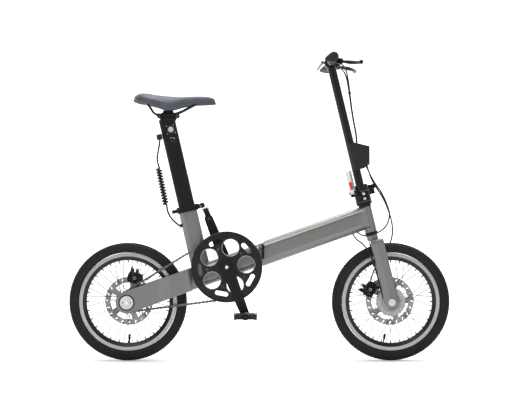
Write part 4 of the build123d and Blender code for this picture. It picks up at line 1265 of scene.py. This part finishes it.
# Cockpit ------------------------------------------------------------------------------------
class BIKE_OT_cockpit(bpy.types.Operator):
    """Grips, levers, bar clamp, post and cable box"""

    bl_idname = "bike.cockpit"
    bl_label = "Cockpit"

    def execute(self, context):
        dress("gloss_black", "handlebar", "stem_post")
        dress("black", "brake_perches", "right_brake_lever", "left_brake_lever", "bar_clamp")
        dress("silver", "bar_clamp_lever")
        dress("plastic", "cable_box")
        grips = joined([self.grip(sign) for sign in (-1, 1)], "grips")
        pair = piece("grip_pair", grips, "rubber", "handlebar")
        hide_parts("grips")
        tilt = Matrix.Translation(BAR_CENTRE) @ Matrix.Rotation(BAR_TILT, 4, "Y")
        for sign, name in SIDES:
            self.lever(tilt, sign, name)
            self.adjuster(tilt, sign, name)
        return {"FINISHED"}

    def lever(self, tilt, sign, name):
        """Brake lever with a waisted blade and a ball end."""
        stops = [(0, 30, 128), (0.2, 48, 136), (0.42, 69, 152), (0.62, 82, 176),
                 (0.82, 89, 203), (1, 92, 226)]
        xs, ys = [(t, x) for t, x, y in stops], [(t, y) for t, x, y in stops]
        tall = [(0, 4.9), (0.12, 4.9), (0.3, 6.4), (0.75, 5.6), (0.9, 4.9), (0.95, 6.8),
                (0.985, 6.6), (1, 3.0)]
        rings = []
        for i in range(45):
            t = i / 44
            here, ahead, behind = (
                Vector((curve_through(xs, u), curve_through(ys, u), 0))
                for u in (t, min(1, t + 0.02), max(0, t - 0.02)))
            run = (ahead - behind).normalized()
            out = Vector((run.y, -run.x, 0))
            h = curve_through(tall, t)
            wide = min(5.6, h) if t < 0.9 else h
            ring = []
            for k in range(20):
                a = math.tau * k / 20
                spot = here + out * (wide * math.cos(a)) + Vector((0, 0, h * math.sin(a)))
                spot.y *= sign
                ring.append(tilt @ (spot * MM))
            rings.append(ring)
        blade = piece(f"{name}_lever_blade", loft(rings), "black", f"{name}_brake_lever")
        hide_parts(f"{name}_brake_lever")
        pivot = tilt @ Matrix.Translation(in_mm(30, sign * 128, 0))
        hub = drum(pivot, 0.0065, 0.0096, 0.0006, 28)
        piece(f"{name}_lever_hub", hub, "black", f"{name}_brake_lever")

    def adjuster(self, tilt, sign, name):
        """Cable barrel, pivot screw and clamp screw of a lever perch."""
        root = in_mm(30, sign * 112, -4)
        away = Vector((0.004, -sign * 0.024, -0.003))
        barrel = place(tilt @ (root + away * 0.42), (1, 0, 0), tilt.to_3x3() @ away)
        sleeve = lathe([(0.0026, -0.009), (0.0048, -0.009), (0.0052, -0.0075), (0.0052, 0.002),
                        (0.0040, 0.004), (0.0040, 0.009), (0.0026, 0.010)], 18, barrel,
                       closed=True)
        piece(f"{name}_cable_barrel", sleeve, "dark_steel", "handlebar")
        screws = []
        for x, y, z, up in ((30, 128, 9, 1), (16, 120, 9, 1), (16, 133, 9, 1), (30, 128, -9, -1)):
            at = place(tilt @ in_mm(x, sign * y, z), FORWARD,
                       tilt.to_3x3() @ Vector((0, 0, up)))
            screws.append(bolt_at(at, 0.0034, 0.0016))
        piece(f"{name}_perch_screws", joined(screws, "screws"), "steel", "handlebar")

    def grip(self, sign):
        rings = []
        inner, outer = 155.0, 283.0
        for i in range(33):
            t = i / 32
            y = inner + (outer - inner) * t
            round_r = 14.5 + 2.4 * t**2
            wing = 6 + 15 * max(0.0, t - 0.15) ** 0.8
            rib = 0.5 if i % 2 and 4 < i < 28 else 0.0
            edge = min(1.0, min(t, 1 - t) * 14 + 0.72)
            ring = []
            for k in range(24):
                a = math.tau * k / 24
                x, z = math.cos(a) * round_r, math.sin(a) * round_r
                back = max(0.0, -math.cos(a)) ** 1.6
                x -= wing * back * 0.62
                z = z * (1 - 0.35 * back) - 7.5 * back
                radial = (1 - rib / 17) * edge
                ring.append(BAR_CENTRE + in_mm(x * radial, sign * y, z * radial))
            rings.append(ring)
        return loft(rings)


# Stage --------------------------------------------------------------------------------------
CAMERA_AT, CAMERA_LENS, CAMERA_SENSOR = (0.002, -6.5, 0.5215), 135.7, 36
LIGHT_AIM = Vector((0, 0, 0.4))
LAMPS = (("key", (-1.2, -2.4, 3.2), 1.6, 60), ("fill", (2.8, -2.4, 1.4), 2.4, 16),
         ("top", (0.2, 0.5, 3.4), 2.4, 105))


class BIKE_OT_stage(bpy.types.Operator):
    """Pale floor, soft light and the camera"""

    bl_idname = "bike.stage"
    bl_label = "Stage"

    def execute(self, context):
        scene = context.scene
        scene.view_settings.view_transform = "Standard"
        camera = bpy.data.cameras.new("camera")
        camera.lens, camera.sensor_width = CAMERA_LENS, CAMERA_SENSOR
        eye = bpy.data.objects.new("camera", camera)
        eye.location = CAMERA_AT
        eye.rotation_euler = (math.pi / 2, 0, 0)
        scene.collection.objects.link(eye)
        scene.camera = eye
        world = bpy.data.worlds.new("studio")
        world.use_nodes = True
        back = world.node_tree.nodes["Background"]
        back.inputs["Color"].default_value = (1, 1, 1, 1)
        back.inputs["Strength"].default_value = 0.32
        scene.world = world
        self.sheet("floor", Matrix.Identity(4), 0.62, 0.10)
        self.sheet("backdrop", shift(0, 12, 0) @ Matrix.Rotation(math.pi / 2, 4, "X"), 0.85)
        for name, spot, size, power in LAMPS:
            light = bpy.data.lights.new(name, "AREA")
            light.energy, light.size = power, size
            lamp = bpy.data.objects.new(name, light)
            lamp.location = spot
            lamp.rotation_euler = (LIGHT_AIM - Vector(spot)).to_track_quat("-Z", "Y").to_euler()
            scene.collection.objects.link(lamp)
        return {"FINISHED"}

    def sheet(self, name, place_at, glow, glow_near=None):
        """A big pale sheet that glows a little, so that it stays white."""
        bm = bmesh.new()
        bmesh.ops.create_grid(bm, x_segments=1, y_segments=1, size=30)
        bm.transform(place_at)
        mesh = bpy.data.meshes.new(name)
        bm.to_mesh(mesh)
        bm.free()
        n = Nodes(name + "_white")
        n.colour(n.noise(2.0), [(0.3, (0.90, 0.90, 0.90)), (0.7, (0.93, 0.93, 0.93))])
        n.set(Roughness=0.9, Emission_Color=(1, 1, 1, 1), Emission_Strength=glow)
        if glow_near is not None:
            size = n.add("ShaderNodeVectorMath", operation="LENGTH")
            n.link(n.coords, size.inputs[0])
            n.link(n.spread(size.outputs["Value"], glow_near, glow, 0.9, 2.4),
                   n.shader.inputs["Emission Strength"])
        mesh.materials.append(n.material)
        sheet = bpy.data.objects.new(name, mesh)
        bpy.context.scene.collection.objects.link(sheet)


class BIKE_PT_panel(bpy.types.Panel):
    """Sidebar panel with every step"""

    bl_label = "Folding bicycle"
    bl_space_type = "VIEW_3D"
    bl_region_type = "UI"
    bl_category = "Bicycle"

    def draw(self, context):
        for operator in OPERATORS:
            self.layout.operator(operator.bl_idname)


OPERATORS = (BIKE_OT_stage, BIKE_OT_lead, BIKE_OT_cables, BIKE_OT_wheels, BIKE_OT_drivetrain,
             BIKE_OT_pedals, BIKE_OT_frame, BIKE_OT_fork, BIKE_OT_saddle, BIKE_OT_cockpit)
CLASSES = (BikeSizes, BikeColours, *OPERATORS, BIKE_PT_panel)


def register():
    for item in CLASSES:
        bpy.utils.register_class(item)
    bpy.types.Scene.bike_sizes = bpy.props.PointerProperty(type=BikeSizes)
    bpy.types.Scene.bike_colours = bpy.props.PointerProperty(type=BikeColours)


def unregister():
    del bpy.types.Scene.bike_sizes, bpy.types.Scene.bike_colours
    for item in reversed(CLASSES):
        bpy.utils.unregister_class(item)


def main():
    register()
    for operator in OPERATORS:
        group, action = operator.bl_idname.split(".")
        getattr(getattr(bpy.ops, group), action)()


if __name__ == "__main__":
    main()
